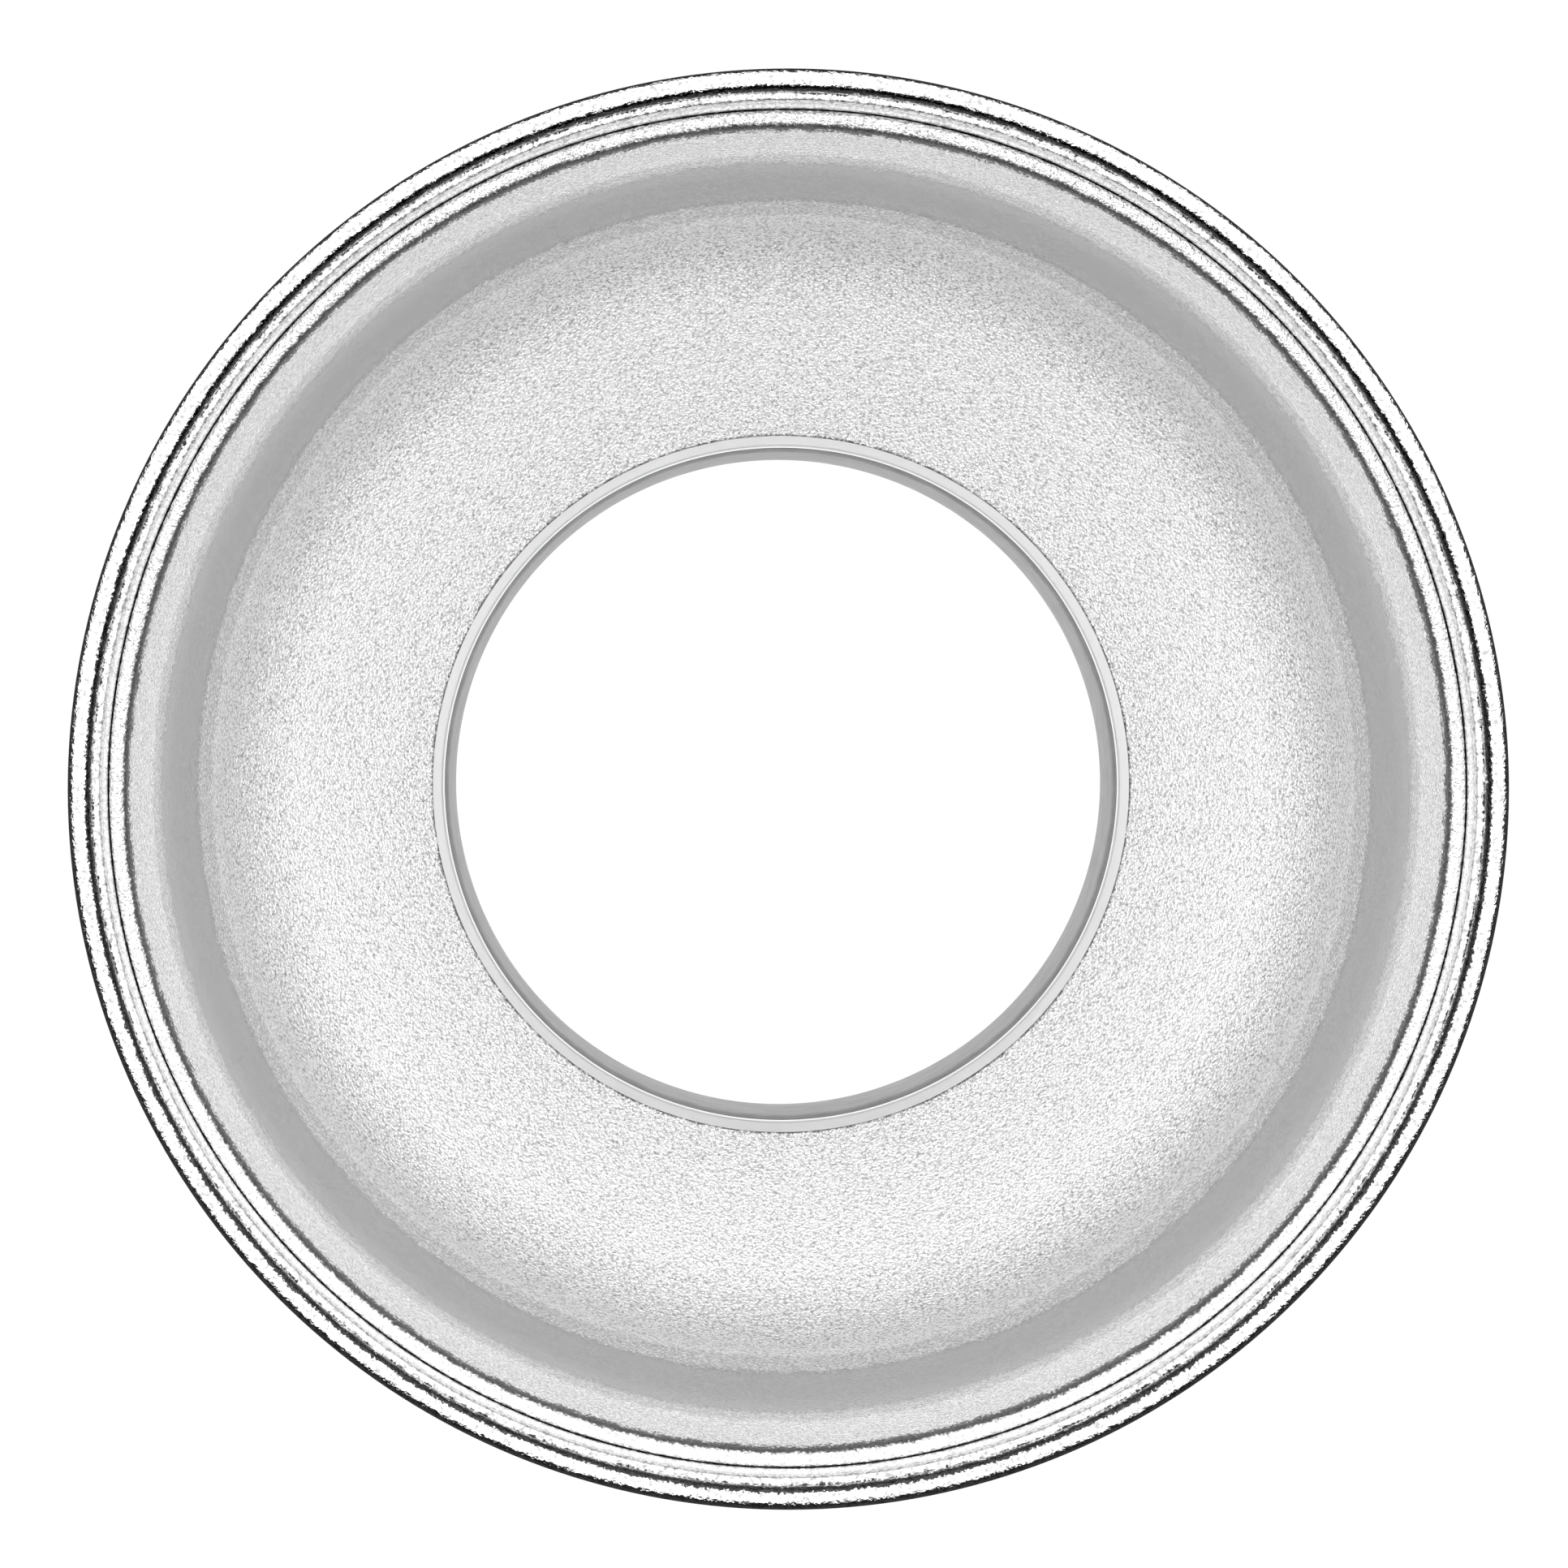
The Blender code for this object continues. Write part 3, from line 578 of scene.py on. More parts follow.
def rod(start, end, rings, sides=32):
    """Shell of a turned rod from start to end; rings are (share of its length, radius)."""
    start, end = Vector(start), Vector(end)
    along = (end - start).normalized()
    across = along.orthogonal().normalized()
    other = along.cross(across)
    loops = []
    for share, radius in rings:
        centre = start.lerp(end, share)
        loops.append([centre + radius * (across * math.cos(t) + other * math.sin(t))
                      for t in circle_angles(sides)])
    return loops, False


def at_latch(u, v, w=0.0):
    """A point of the latch: u along the band towards +X, v out from the axis, w up from its middle."""
    return Vector((u, -v, PIVOT_AT.z + w))


def on_neck(radius, degrees):
    angle = math.radians(degrees)
    return radius * math.sin(angle), radius * math.cos(angle)


def latch_slab(outline, low, high):
    return [[at_latch(u, v, w) for u, v in outline] for w in (low, high)], False


def latch_rod(u, v, low, high, radius, sides=32):
    return rod(at_latch(u, v, low), at_latch(u, v, high), ((0, radius), (1, radius)), sides)


def neck_sheet(radius, wall, width, start, end):
    """Shell of a curved sheet on the neck, between two angles from the latch's middle."""
    low, high = PIVOT_AT.z - width / 2, PIVOT_AT.z + width / 2
    corners = ((radius, low), (radius, high), (radius + wall, high), (radius + wall, low))
    count = max(4, round((end - start) / 1.5))
    loops = []
    for i in range(count + 1):
        angle = math.radians(start + (end - start) * i / count)
        loops.append([(r * math.sin(angle), -r * math.cos(angle), z) for r, z in corners])
    return loops, False


# ---- dimensions that several pieces share ----
BOLT_LINE = -TRUNNION_AT.y
PIVOT = (PIVOT_AT.x, -PIVOT_AT.y)
CATCH_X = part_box("draw_bolt")[0].x + 0.0025
BARREL_LENGTH = 0.0100
BARREL_RADIUS = 0.0031
WASHER = 0.0006              # thickness of the thrust washer
BAR_HALF = 0.0060            # half the cross bar's length
PIN_RADIUS = 0.0015
PIN_HEAD = (0.0029, 0.0010)  # radius and height
RIVET_HEAD = 0.0009
LEVER_TIP = 74.0             # degrees around the neck
LEVER_LIFT = 0.0090          # its middle above the band there
LEVER_PULLS = (0.017, 0.020) # the curve's handles at the pivot and at the tip
BASE_RIVETS = (27.0, 34.5)
CATCH_RIVETS = (-35.0, -27.5)
ANCHOR_RIVETS = (174.0, 186.0)
PLATE_ANGLES = (10.0, 38.0)
CATCH_ANGLES = (-39.0, -11.0)
BAND_GAP = 9.0
CHEEK_INSIDE = BARREL_LENGTH / 2 + GAP * 0.7


def radii(neck):
    """Radii of the fingers, the band and the brackets' plates."""
    finger = neck.bore_radius + neck.sleeve_wall + GAP
    band = finger + neck.collar_wall + GAP
    return finger, band, band + neck.band_wall + GAP


def cheek_and_ear(latch):
    cheek = CHEEK_INSIDE + latch.plate
    return cheek, cheek + GAP, cheek + GAP + latch.plate


# ---- operators ----
class PieceOperator:
    """Builds from the sizes and finishes in the panel."""

    def execute(self, context):
        self.build(*sizes())
        return {"FINISHED"}


class BuildFrontRing(PieceOperator, bpy.types.Operator):
    """Ring with the rolled rim, the ledge and the wall that a grid drops into"""
    bl_idname = "reflector.front_ring"
    bl_label = "Front Ring"

    def build(self, dish, neck, latch, finish):
        crown = dish.height - dish.seat_depth
        half = dish.sheet / 2
        foot = crown - dish.hem_length - GAP - half
        low = dish.seat_radius + half
        ledge = dish.height - dish.ledge_depth - half
        roll = dish.bead_radius - half
        centre = Vector((dish.rim_radius - dish.bead_radius, dish.height - dish.bead_radius))
        flank = centre.x - roll
        corners = [(low - 0.0014, foot), (low, foot), (low + 0.0001, ledge), (flank, ledge),
                   (flank, centre.y)]
        path = rounded(corners, [0.0006, 0.00042, 0.00042])[:-1]
        path += [Vector(point) for point in arc(centre, roll, 180, 180 - BEAD_SWEEP, 30)]
        piece = turn_section("front_ring_skin", strip(path, dish.sheet), dish.facets, ring_metal(finish),
                             black_paint(finish), dish.height - 2 * dish.bead_radius)
        hand_over(bake(piece), "reflector", "hammered_aluminium_ring", "front_ring")


class BuildBowl(PieceOperator, bpy.types.Operator):
    """Spun bowl: folded edge, steep wall, rounded knee and floor cone"""
    bl_idname = "reflector.bowl"
    bl_label = "Bowl"

    def build(self, dish, neck, latch, finish):
        half = dish.sheet / 2
        top = dish.height - dish.seat_depth
        hem = dish.seat_radius - HEM_GAP - half
        wall = dish.seat_radius - GAP - dish.hem_width + half
        edge = behind_floor(dish, neck, half)
        knee = crossing((wall, top - half), WALL_SLOPE, edge, FLOOR_SLOPE)
        corners = [(hem, top - dish.hem_length), (hem, top - half), (wall, top - half), knee, edge]
        path = rounded(corners, [0.0003, 0.0010, BOWL_FILLET + half], 10)
        section = strip(split_long(path, 0.003), dish.sheet)
        piece = turn_section("reflector_bowl_skin", section, dish.facets, bowl_metal(finish),
                             black_paint(finish), top - 2 * dish.sheet)
        hand_over(bake(piece), "reflector", "hammered_aluminium", "reflector_bowl")


class BuildCollar(PieceOperator, bpy.types.Operator):
    """Neck collar: bright lip, flange behind the bowl, and slotted fingers for the band to squeeze"""
    bl_idname = "reflector.collar"
    bl_label = "Neck Collar"

    def build(self, dish, neck, latch, finish):
        wall = neck.collar_wall
        start = Vector(behind_floor(dish, neck, dish.sheet + GAP + wall / 2))
        slope = math.radians(FLOOR_SLOPE)
        outer = start + neck.flange_width * Vector((math.cos(slope), math.sin(slope)))
        tube = neck.bore_radius + GAP + wall / 2
        finger = radii(neck)[0] + wall / 2
        shoulder = neck.sleeve_top + GAP + wall / 2
        bend = start.y - (start.x - tube) * math.tan(slope)
        corners = [outer, (tube, bend), (tube, shoulder), (finger, shoulder), (finger, wall / 2),
                   (finger + neck.end_lip, wall / 2)]
        path = rounded(corners, [0.0011, 0.0007, 0.0007, 0.0008])
        section = strip(split_long(path, 0.0018), wall)
        piece = turn_section("neck_collar_skin", section, dish.facets, lip_metal(finish), black_paint(finish),
                             dish.height)
        slots = [self.slot(neck, 360.0 * i / neck.slots) for i in range(neck.slots)]
        bevelled(piece, 0.0002, boolean(piece, slots, "DIFFERENCE"))
        self.paint_all_but_lip(piece.data, start.x + neck.lip_width, start.y - 0.004)
        hand_over(piece, "reflector", "collar_metal", "neck_collar")

    def slot(self, neck, degrees):
        half = neck.slot_width / 2
        outline = [(-half, -0.001), (half, -0.001)]
        outline += arc((0, neck.slot_length - half), half, 0, 180, 14)
        angle = math.radians(degrees)
        out = Vector((math.sin(angle), -math.cos(angle), 0))
        along = Vector((math.cos(angle), math.sin(angle), 0))
        inside = neck.bore_radius + neck.sleeve_wall - 0.001
        outside = inside + neck.collar_wall + neck.end_lip + 0.003
        return [[out * r + along * a + Vector((0, 0, z)) for a, z in outline]
                for r in (inside, outside)], False

    def paint_all_but_lip(self, mesh, reach, low):
        """Only the lip's own face is left bare."""
        for face in mesh.polygons:
            bare = face.normal.z > 0.35 and face.center.z > low and face.center.xy.length < reach
            face.material_index = 0 if bare else 1


class BuildSleeve(PieceOperator, bpy.types.Operator):
    """Rubber sleeve that grips the flash head's tube"""
    bl_idname = "reflector.sleeve"
    bl_label = "Grip Sleeve"

    def build(self, dish, neck, latch, finish):
        inner, outer = neck.bore_radius, neck.bore_radius + neck.sleeve_wall
        c, top = 0.0008, neck.sleeve_top
        corners = [(inner + c * 2, GAP), (inner + c, GAP), (inner, GAP + c), (inner, top), (outer, top),
                   (outer, GAP), (inner + c * 2, GAP)]
        section = rounded(corners, [0.0004, 0.0006, 0.0003, 0.0008, 0.0004], 4)[:-1]
        piece = turn_section("grip_sleeve_skin", split_long(section, 0.004), dish.facets, grey_rubber(finish))
        hand_over(bake(piece), "reflector", "grey_rubber", "grip_sleeve")


class BuildBand(PieceOperator, bpy.types.Operator):
    """Steel band around the collar's fingers"""
    bl_idname = "reflector.band"
    bl_label = "Clamp Band"

    def build(self, dish, neck, latch, finish):
        band = radii(neck)[1]
        sheet = neck_sheet(band, neck.band_wall, BAND_HIGH.z - BAND_LOW.z, BAND_GAP, 360 - BAND_GAP)
        piece = shell_object("clamp_band_skin", [sheet], brushed_steel(finish))
        hand_over(bevelled(piece, 0.00018), "reflector", "band_steel", "clamp_band")


class BuildBrackets(PieceOperator, bpy.types.Operator):
    """Bracket that carries the lever, and the catch that holds the bolt's cross bar"""
    bl_idname = "reflector.brackets"
    bl_label = "Latch Brackets"

    def build(self, dish, neck, latch, finish):
        steel = satin_steel(finish)
        plate = radii(neck)[2]
        middle = plate + latch.plate / 2
        ear_in, ear_out = cheek_and_ear(latch)[1:]
        outline = [on_neck(middle, PLATE_ANGLES[0] + 2.0 + 15.0 * i / 6) for i in range(7)]
        outline += arc(PIVOT, latch.lever_eye - GAP, 10, 170, 20)
        hole = latch_rod(*PIVOT, -ear_out - 0.001, ear_out + 0.001, PIN_RADIUS + GAP / 2)
        sheet = neck_sheet(plate, latch.plate, 2 * ear_out, *PLATE_ANGLES)
        self.bracket("latch_base", sheet, outline, (ear_in, ear_out), [hole], steel)
        face = CATCH_X + latch.bar_radius + GAP
        top = BOLT_LINE + latch.bar_radius
        outline = [(face, math.sqrt(middle ** 2 - face ** 2)), (face, top - 0.0008), (face + 0.0008, top),
                   (face + 0.0040, top)]
        outline += [on_neck(middle, CATCH_ANGLES[1] - a) for a in (1.5, 4.0)]
        inside = latch.bolt_radius + 3 * GAP
        sheet = neck_sheet(plate, latch.plate, 2 * ear_out, *CATCH_ANGLES)
        self.bracket("catch_bracket", sheet, outline, (inside, inside + latch.plate * 1.5), [], steel)

    def bracket(self, node, sheet, outline, span, holes, steel):
        """A curved plate with two ears, which stand between two distances from its middle."""
        piece = shell_object(node + "_skin", [sheet], steel)
        low, high = span
        ears = [latch_slab(outline, low, high), latch_slab(outline, -high, -low)]
        tools = [boolean(piece, ears, "UNION")]
        if holes:
            tools.append(boolean(piece, holes, "DIFFERENCE"))
        hand_over(bevelled(piece, 0.00022, *tools), "reflector", "bracket_steel", node)


class BuildRivets(PieceOperator, bpy.types.Operator):
    """Domed rivets, set on points around the neck"""
    bl_idname = "reflector.rivets"
    bl_label = "Rivets"

    def build(self, dish, neck, latch, finish):
        band, plate = radii(neck)[1:]
        zinc = plated_zinc(finish)
        seats = [(a, plate + latch.plate + GAP / 2) for a in BASE_RIVETS + CATCH_RIVETS]
        seats += [(a, band + neck.band_wall + GAP / 2) for a in ANCHOR_RIVETS]
        mesh = bpy.data.meshes.new("rivets_skin")
        mesh.from_pydata([at_latch(*on_neck(r, a)) for a, r in seats], [], [])
        piece = new_object("rivets_skin", mesh)
        with_nodes(piece, self.tree(), Head_Radius=latch.rivet_head, Head_Height=RIVET_HEAD,
                   Sides=28, Finish=zinc)
        names = [n for n in frame["nodes"] if "rivet" in n]
        hand_over(bake(piece), "reflector", "plated_steel", *names)

    def tree(self):
        """A domed head on each point, turned to look away from the dish's axis."""
        tree, given = node_group("Domed heads", "Heads", Seats="Geometry", Head_Radius="Float",
                                 Head_Height="Float", Sides="Int", Finish="Material")
        ball = put(tree, "GeometryNodeMeshUVSphere",
                   {"Segments": given["Sides"], "Rings": 16, "Radius": given["Head Radius"]})
        spot = put(tree, "GeometryNodeInputPosition")
        parts = add(tree, "ShaderNodeSeparateXYZ", {0: spot}).outputs
        lifted = math_node(tree, "MAXIMUM", parts["Z"], 0.0)
        squash = math_node(tree, "DIVIDE", given["Head Height"], given["Head Radius"])
        flat = put(tree, "ShaderNodeCombineXYZ", {"X": parts["X"], "Y": parts["Y"],
                                                  "Z": math_node(tree, "MULTIPLY", lifted, squash)})
        dome = put(tree, "GeometryNodeSetPosition", {"Geometry": ball, "Position": flat})
        weld = put(tree, "GeometryNodeMergeByDistance", {"Geometry": dome, "Distance": 0.00001})
        look = put(tree, "FunctionNodeAlignRotationToVector", {"Vector": scaled(tree, spot, (1, 1, 0))},
                   axis="Z")
        copies = put(tree, "GeometryNodeInstanceOnPoints",
                     {"Points": given["Seats"], "Instance": weld, "Rotation": look})
        finished(tree, "Heads", copies, given["Finish"])
        return tree


class BuildPins(PieceOperator, bpy.types.Operator):
    """Stub pins of the lever, one in each ear of its bracket"""
    bl_idname = "reflector.pins"
    bl_label = "Lever Pins"

    def build(self, dish, neck, latch, finish):
        ear_out = cheek_and_ear(latch)[2]
        wide, tall = PIN_HEAD
        zinc = plated_zinc(finish)
        for node, sign in (("lever_pin_upper", 1), ("lever_pin_lower", -1)):
            start = at_latch(*PIVOT, sign * (CHEEK_INSIDE + GAP / 3))
            end = at_latch(*PIVOT, sign * (ear_out + GAP / 2 + tall))
            head = 1 - tall / (end - start).length
            rings = [(0, 0.0013), (0.04, PIN_RADIUS), (head, PIN_RADIUS), (head, wide)]
            rings += [(head + (1 - head) * (0.4 + 0.6 * y), wide * (0.35 + 0.65 * x))
                      for x, y in arc((0, 0), 1, 0, 90, 6)]
            rings += [(1.0 - (1 - head) * 0.25, wide * 0.22)]
            piece = shell_object(node + "_skin", [rod(start, end, rings, 40)], zinc)
            hand_over(bake(piece), "reflector", "plated_steel", node)


class BuildLever(PieceOperator, bpy.types.Operator):
    """Channel lever: two cheeks on the pins, joined by a web along the handle"""
    bl_idname = "reflector.lever"
    bl_label = "Latch Lever"

    def build(self, dish, neck, latch, finish):
        cheek = cheek_and_ear(latch)[0]
        line = self.line(radii(neck)[1] + neck.band_wall)
        outer, inner = self.edges(latch, line, (0, 0))
        ahead = (line[-1] - line[-2]).normalized()
        across = Vector((-ahead.y, ahead.x))
        nose = [line[-1] + ahead * 0.7 * x + across * y for x, y in arc((0, 0), latch.lever_half, 60, -60, 5)]
        eye = [Vector(PIVOT) + turned(Vector((0, -latch.lever_eye)), -math.pi * i / 24) for i in range(1, 24)]
        outline = outer + nose + inner[::-1] + eye
        coat = black_paint(finish, "Lever powder coat", finish.lever)
        lever = shell_object("latch_lever_skin", [latch_slab(outline, -cheek, cheek)], coat)
        start = len(line) // 3
        upper, lower = self.edges(latch, line, (-latch.plate, 0.002), start)
        reach = latch.lever_eye + 0.003
        mouth = [(PIVOT[0] - reach, PIVOT[1] - reach), (PIVOT[0] - reach, PIVOT[1] + reach),
                 (upper[0].x, PIVOT[1] + reach)]
        stop = len(upper) - 3
        channel = mouth + upper[:stop] + lower[:stop][::-1]
        tools = [boolean(lever, [latch_slab(channel, -CHEEK_INSIDE, CHEEK_INSIDE)], "DIFFERENCE")]
        holes = [latch_rod(*PIVOT, -0.02, 0.02, PIN_RADIUS + GAP / 2),
                 latch_rod(TRUNNION_AT.x, BOLT_LINE, -0.02, 0.02, PIN_RADIUS + GAP / 2)]
        tools.append(boolean(lever, holes, "DIFFERENCE"))
        hand_over(bevelled(lever, 0.0003, *tools), "lever", "lever_black", "latch_lever")

    def line(self, band_outside):
        """Middle of the lever: straight over the nut, then around the neck."""
        start = Vector(PIVOT)
        tip = Vector(on_neck(band_outside + LEVER_LIFT, LEVER_TIP))
        a = start + Vector((LEVER_PULLS[0], 0))
        b = tip - Vector(on_neck(1.0, LEVER_TIP + 90)) * LEVER_PULLS[1]
        steps = 42
        return [start * (1 - t) ** 3 + a * 3 * t * (1 - t) ** 2 + b * 3 * t * t * (1 - t) + tip * t ** 3
                for t in (i / steps for i in range(steps + 1))]

    def edges(self, latch, line, grow, start=0):
        count = len(line) - 1
        outer, inner = [], []
        for i in range(start, count + 1):
            ahead = (line[min(i + 1, count)] - line[max(i - 1, 0)]).normalized()
            out = Vector((-ahead.y, ahead.x))
            fade = max(0.0, 1.0 - i / count / 0.35)
            half = latch.lever_half + (latch.lever_eye - latch.lever_half) * fade * fade * (3 - 2 * fade)
            outer.append(line[i] + out * (half + grow[0]))
            inner.append(line[i] - out * (half + grow[1]))
        return outer, inner


class BuildTrunnion(PieceOperator, bpy.types.Operator):
    """Trunnion that the draw bolt passes through, with its thrust washer"""
    bl_idname = "reflector.trunnion"
    bl_label = "Trunnion"

    def build(self, dish, neck, latch, finish):
        zinc = plated_zinc(finish)
        reach, shoulder = cheek_and_ear(latch)[0], BARREL_LENGTH / 2
        ends = [at_latch(TRUNNION_AT.x, BOLT_LINE, w) for w in (-reach, reach)]
        low, high = 0.5 - shoulder / reach / 2, 0.5 + shoulder / reach / 2
        rings = ((0, PIN_RADIUS), (low, PIN_RADIUS), (low, BARREL_RADIUS), (high, BARREL_RADIUS),
                 (high, PIN_RADIUS), (1, PIN_RADIUS))
        block = shell_object("trunnion_skin", [rod(*ends, rings, 40)], zinc)
        bore = latch.bolt_radius + GAP
        hole = rod(at_latch(TRUNNION_AT.x - 0.01, BOLT_LINE), at_latch(TRUNNION_AT.x + 0.01, BOLT_LINE),
                   ((0, bore), (1, bore)))
        tool = boolean(block, [hole], "DIFFERENCE")
        hand_over(bevelled(block, 0.00015, tool), "trunnion", "plated_steel", "trunnion")
        start = TRUNNION_AT.x + BARREL_RADIUS + GAP
        ring = bored_rod(start, WASHER, [BARREL_RADIUS] * 48, bore)
        washer = shell_object("thrust_washer_skin", [ring], zinc)
        hand_over(bevelled(washer, 0.0001), "trunnion", "plated_steel", "thrust_washer")


def bored_rod(start, span, side_radii, bore):
    """Shell of a ring around the bolt, with one outer radius for each of its sides."""
    loops = []
    for u, inner in ((start, False), (start + span, False), (start + span, True), (start, True)):
        loop = []
        for angle, radius in zip(circle_angles(len(side_radii)), side_radii):
            r = bore if inner else radius
            loop.append(at_latch(u, BOLT_LINE + r * math.cos(angle), r * math.sin(angle)))
        loops.append(loop)
    return loops, True


class BuildDrawBolt(PieceOperator, bpy.types.Operator):
    """Draw bolt with its cross bar, and a rolled thread where the nut runs"""
    bl_idname = "reflector.draw_bolt"
    bl_label = "Draw Bolt"

    def build(self, dish, neck, latch, finish):
        zinc = plated_zinc(finish)
        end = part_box("draw_bolt")[1].x
        thread_start = TRUNNION_AT.x - 0.0120
        root = latch.bolt_radius - 0.00028
        full = end - CATCH_X
        rings = [(0, latch.bolt_radius), ((thread_start - CATCH_X) / full, latch.bolt_radius),
                 ((thread_start + 0.0003 - CATCH_X) / full, root), (1 - 0.0006 / full, root), (1, root * 0.8)]
        shank = rod(at_latch(CATCH_X, BOLT_LINE), at_latch(end, BOLT_LINE), rings, 40)
        bolt = shell_object("draw_bolt_skin", [shank], zinc)
        bar = latch_rod(CATCH_X, BOLT_LINE, -BAR_HALF, BAR_HALF, latch.bar_radius, 48)
        tool = boolean(bolt, [bar], "UNION")
        hand_over(bevelled(bolt, 0.00025, tool), "bolt", "plated_steel", "draw_bolt")
        thread = new_object("draw_bolt_thread", bpy.data.meshes.new("draw_bolt_thread"))
        with_nodes(thread, self.tree(), Radius=root, Crest=latch.bolt_radius - root, Pitch=latch.pitch,
                   Turns=(end - 0.0007 - thread_start - 0.0004) / latch.pitch, Finish=zinc,
                   Start=at_latch(thread_start + 0.0004, BOLT_LINE))
        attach(bake(thread), "bolt")

    def tree(self):
        """A thread's ridge: a small triangle swept along a helix, laid along X from a start."""
        tree, given = node_group("Rolled thread", "Thread", Base="Geometry", Radius="Float", Crest="Float",
                                 Pitch="Float", Turns="Float", Start="Vector", Finish="Material")
        height = math_node(tree, "MULTIPLY", given["Pitch"], given["Turns"])
        helix = put(tree, "GeometryNodeCurveSpiral",
                    {"Resolution": 20, "Rotations": given["Turns"], "Start Radius": given["Radius"],
                     "End Radius": given["Radius"], "Height": height})
        width = math_node(tree, "MULTIPLY", given["Pitch"], 0.44)
        ridge = put(tree, "GeometryNodeCurvePrimitiveCircle", {"Resolution": 4, "Radius": width})
        squash = math_node(tree, "DIVIDE", given["Crest"], width)
        shape = put(tree, "ShaderNodeCombineXYZ", {"X": squash, "Y": 1.0, "Z": 1.0})
        flat = put(tree, "GeometryNodeTransform", {"Geometry": ridge, "Scale": shape})
        sweep = put(tree, "GeometryNodeCurveToMesh",
                    {"Curve": helix, "Profile Curve": flat, "Fill Caps": True})
        laid = put(tree, "GeometryNodeTransform", {"Geometry": sweep, "Translation": given["Start"],
                                                   "Rotation": (0, math.pi / 2, 0)})
        finished(tree, "Thread", laid, given["Finish"])
        return tree


class BuildNut(PieceOperator, bpy.types.Operator):
    """Fluted adjuster nut that sets how tight the band is pulled"""
    bl_idname = "reflector.nut"
    bl_label = "Adjuster Nut"

    def build(self, dish, neck, latch, finish):
        low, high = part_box("adjuster_nut")
        flutes, fine = 12, 8
        radius = latch.nut_radius
        wave = [radius * (0.955 + 0.045 * math.cos(2 * math.pi * i / fine)) for i in range(flutes * fine)]
        body = bored_rod(low.x, high.x - low.x, wave, latch.bolt_radius + GAP)
        nut = shell_object("adjuster_nut_skin", [body], plated_zinc(finish))
        hand_over(bevelled(nut, 0.00025), "nut", "plated_steel", "adjuster_nut")


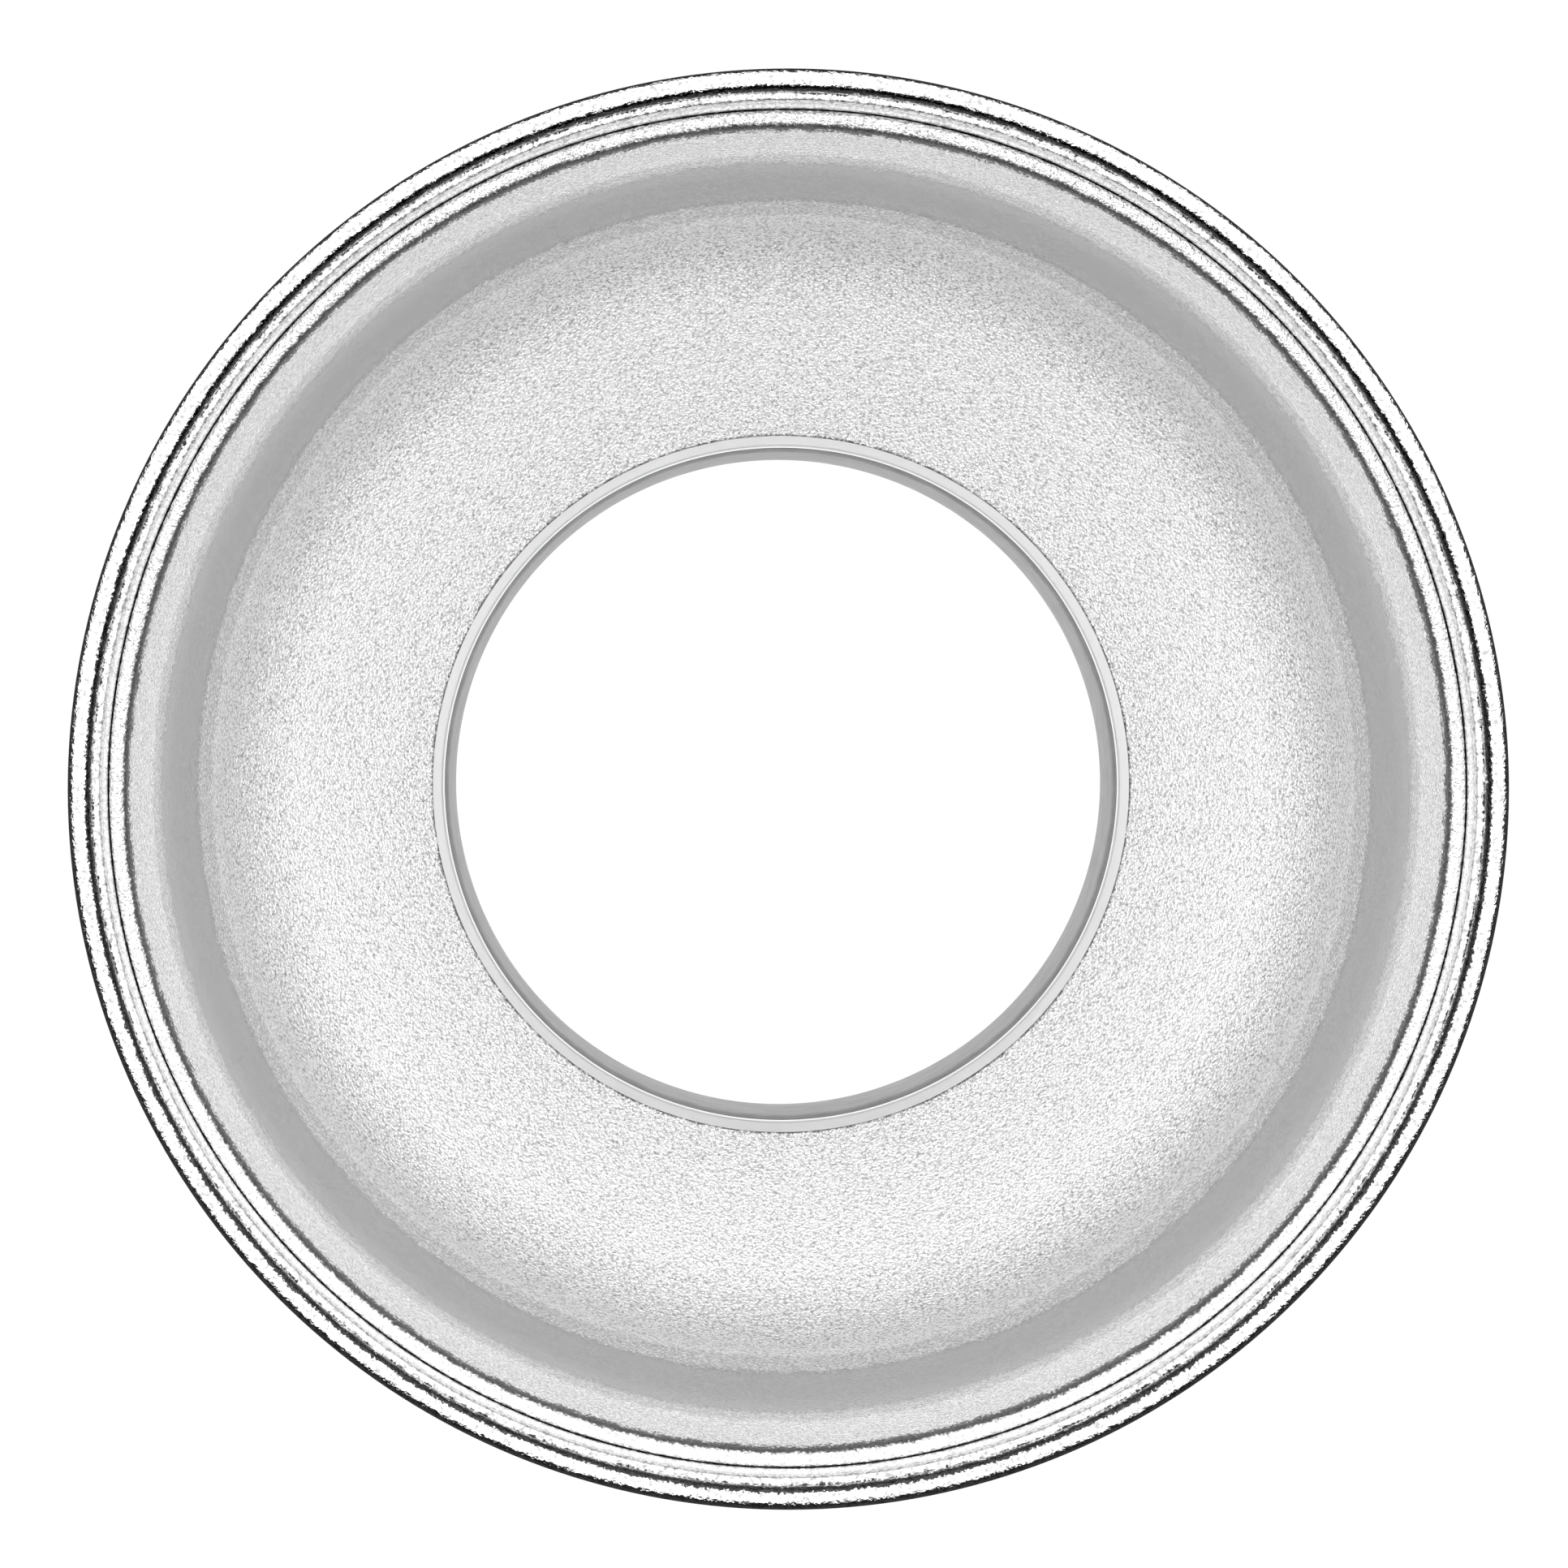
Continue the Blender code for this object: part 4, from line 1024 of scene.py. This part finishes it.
class BuildStage(PieceOperator, bpy.types.Operator):
    """Pale floor, soft studio light and the camera"""
    bl_idname = "reflector.stage"
    bl_label = "Stage"

    def build(self, dish, neck, latch, finish):
        self.floor()
        self.surround()
        self.camera(dish)
        bpy.context.scene.view_settings.view_transform = "Standard"

    def floor(self):
        mesh = bpy.data.meshes.new("floor")
        half, level = 6.0, -0.0002
        mesh.from_pydata([(x * half, y * half, level) for x, y in ((-1, -1), (1, -1), (1, 1), (-1, 1))], [],
                         [(0, 1, 2, 3)])
        floor = new_object("floor", mesh)
        made, tree, where = new_material("Pale floor")
        glow = remap(tree, axis_distance(tree, where), 0.085, 0.115, 1.15, 0.04)
        self.light_and_show(tree, "ShaderNodeEmission", glow, "ShaderNodeOutputMaterial")
        mesh.materials.append(made)

    def surround(self):
        """Bright above and towards +Y, dark low down on the -Y side."""
        world = bpy.data.worlds.new("Studio")
        bpy.context.scene.world = world
        world.use_nodes = True
        tree = world.node_tree
        tree.nodes.clear()
        way = add(tree, "ShaderNodeSeparateXYZ", {0: add(tree, "ShaderNodeTexCoord").outputs["Generated"]})
        lean = math_node(tree, "MULTIPLY", way.outputs["Y"], 0.50)
        fill = remap(tree, math_node(tree, "ADD", way.outputs["Z"], lean), 0.27, 0.31, 0.015, 1.60)
        self.light_and_show(tree, "ShaderNodeBackground", fill, "ShaderNodeOutputWorld")

    def light_and_show(self, tree, kind, strength, output):
        """White, with one strength as a light and another in the camera's own view."""
        light, shown = (put(tree, kind, {"Color": WHITE, "Strength": value}) for value in (strength, SHOWN))
        seen = add(tree, "ShaderNodeLightPath").outputs["Is Camera Ray"]
        add(tree, output, {"Surface": put(tree, "ShaderNodeMixShader", {0: seen, 1: light, 2: shown})})

    def camera(self, dish):
        """Straight above the mouth, a little off the axis, looking at the middle of the rim."""
        data = bpy.data.cameras.new("camera")
        data.sensor_width, data.lens = 36.0, CAMERA_LENS
        data.clip_start, data.clip_end = 0.01, 50.0
        camera = new_object("camera", data)
        at, aim = (Vector(place) + Vector((0, 0, dish.height)) for place in (CAMERA_AT, CAMERA_AIM))
        back = (at - aim).normalized()
        right = Vector((0, 1, 0)).cross(back).normalized()
        turn = Matrix((right, back.cross(right), back)).transposed()
        camera.matrix_world = Matrix.Translation(at) @ turn.to_4x4()
        bpy.context.scene.camera = camera


OPERATORS = (BuildFrontRing, BuildBowl, BuildCollar, BuildSleeve, BuildBand, BuildBrackets, BuildRivets,
             BuildPins, BuildLever, BuildTrunnion, BuildDrawBolt, BuildNut, BuildStage)
GROUPS = (("dish_sizes", DishSizes), ("neck_sizes", NeckSizes), ("latch_sizes", LatchSizes),
          ("dish_finishes", Finishes))


class ReflectorPanel(bpy.types.Panel):
    """Sizes, finishes and a button for each piece"""
    bl_idname = "VIEW3D_PT_reflector"
    bl_label = "Flash Reflector"
    bl_space_type = "VIEW_3D"
    bl_region_type = "UI"
    bl_category = "Reflector"

    def draw(self, context):
        for name, group in GROUPS:
            box = self.layout.box()
            for key in group.__annotations__:
                box.prop(getattr(context.scene, name), key)
        for operator in OPERATORS:
            self.layout.operator(operator.bl_idname)


def register():
    for name, group in GROUPS:
        bpy.utils.register_class(group)
        setattr(bpy.types.Scene, name, bpy.props.PointerProperty(type=group))
    for operator in OPERATORS:
        bpy.utils.register_class(operator)
    bpy.utils.register_class(ReflectorPanel)


def unregister():
    bpy.utils.unregister_class(ReflectorPanel)
    for operator in reversed(OPERATORS):
        bpy.utils.unregister_class(operator)
    for name, group in reversed(GROUPS):
        delattr(bpy.types.Scene, name)
        bpy.utils.unregister_class(group)


def main():
    register()
    for operator in OPERATORS:
        getattr(bpy.ops.reflector, operator.bl_idname.split(".")[1])()
    bpy.context.view_layer.update()


if __name__ == "__main__":
    main()
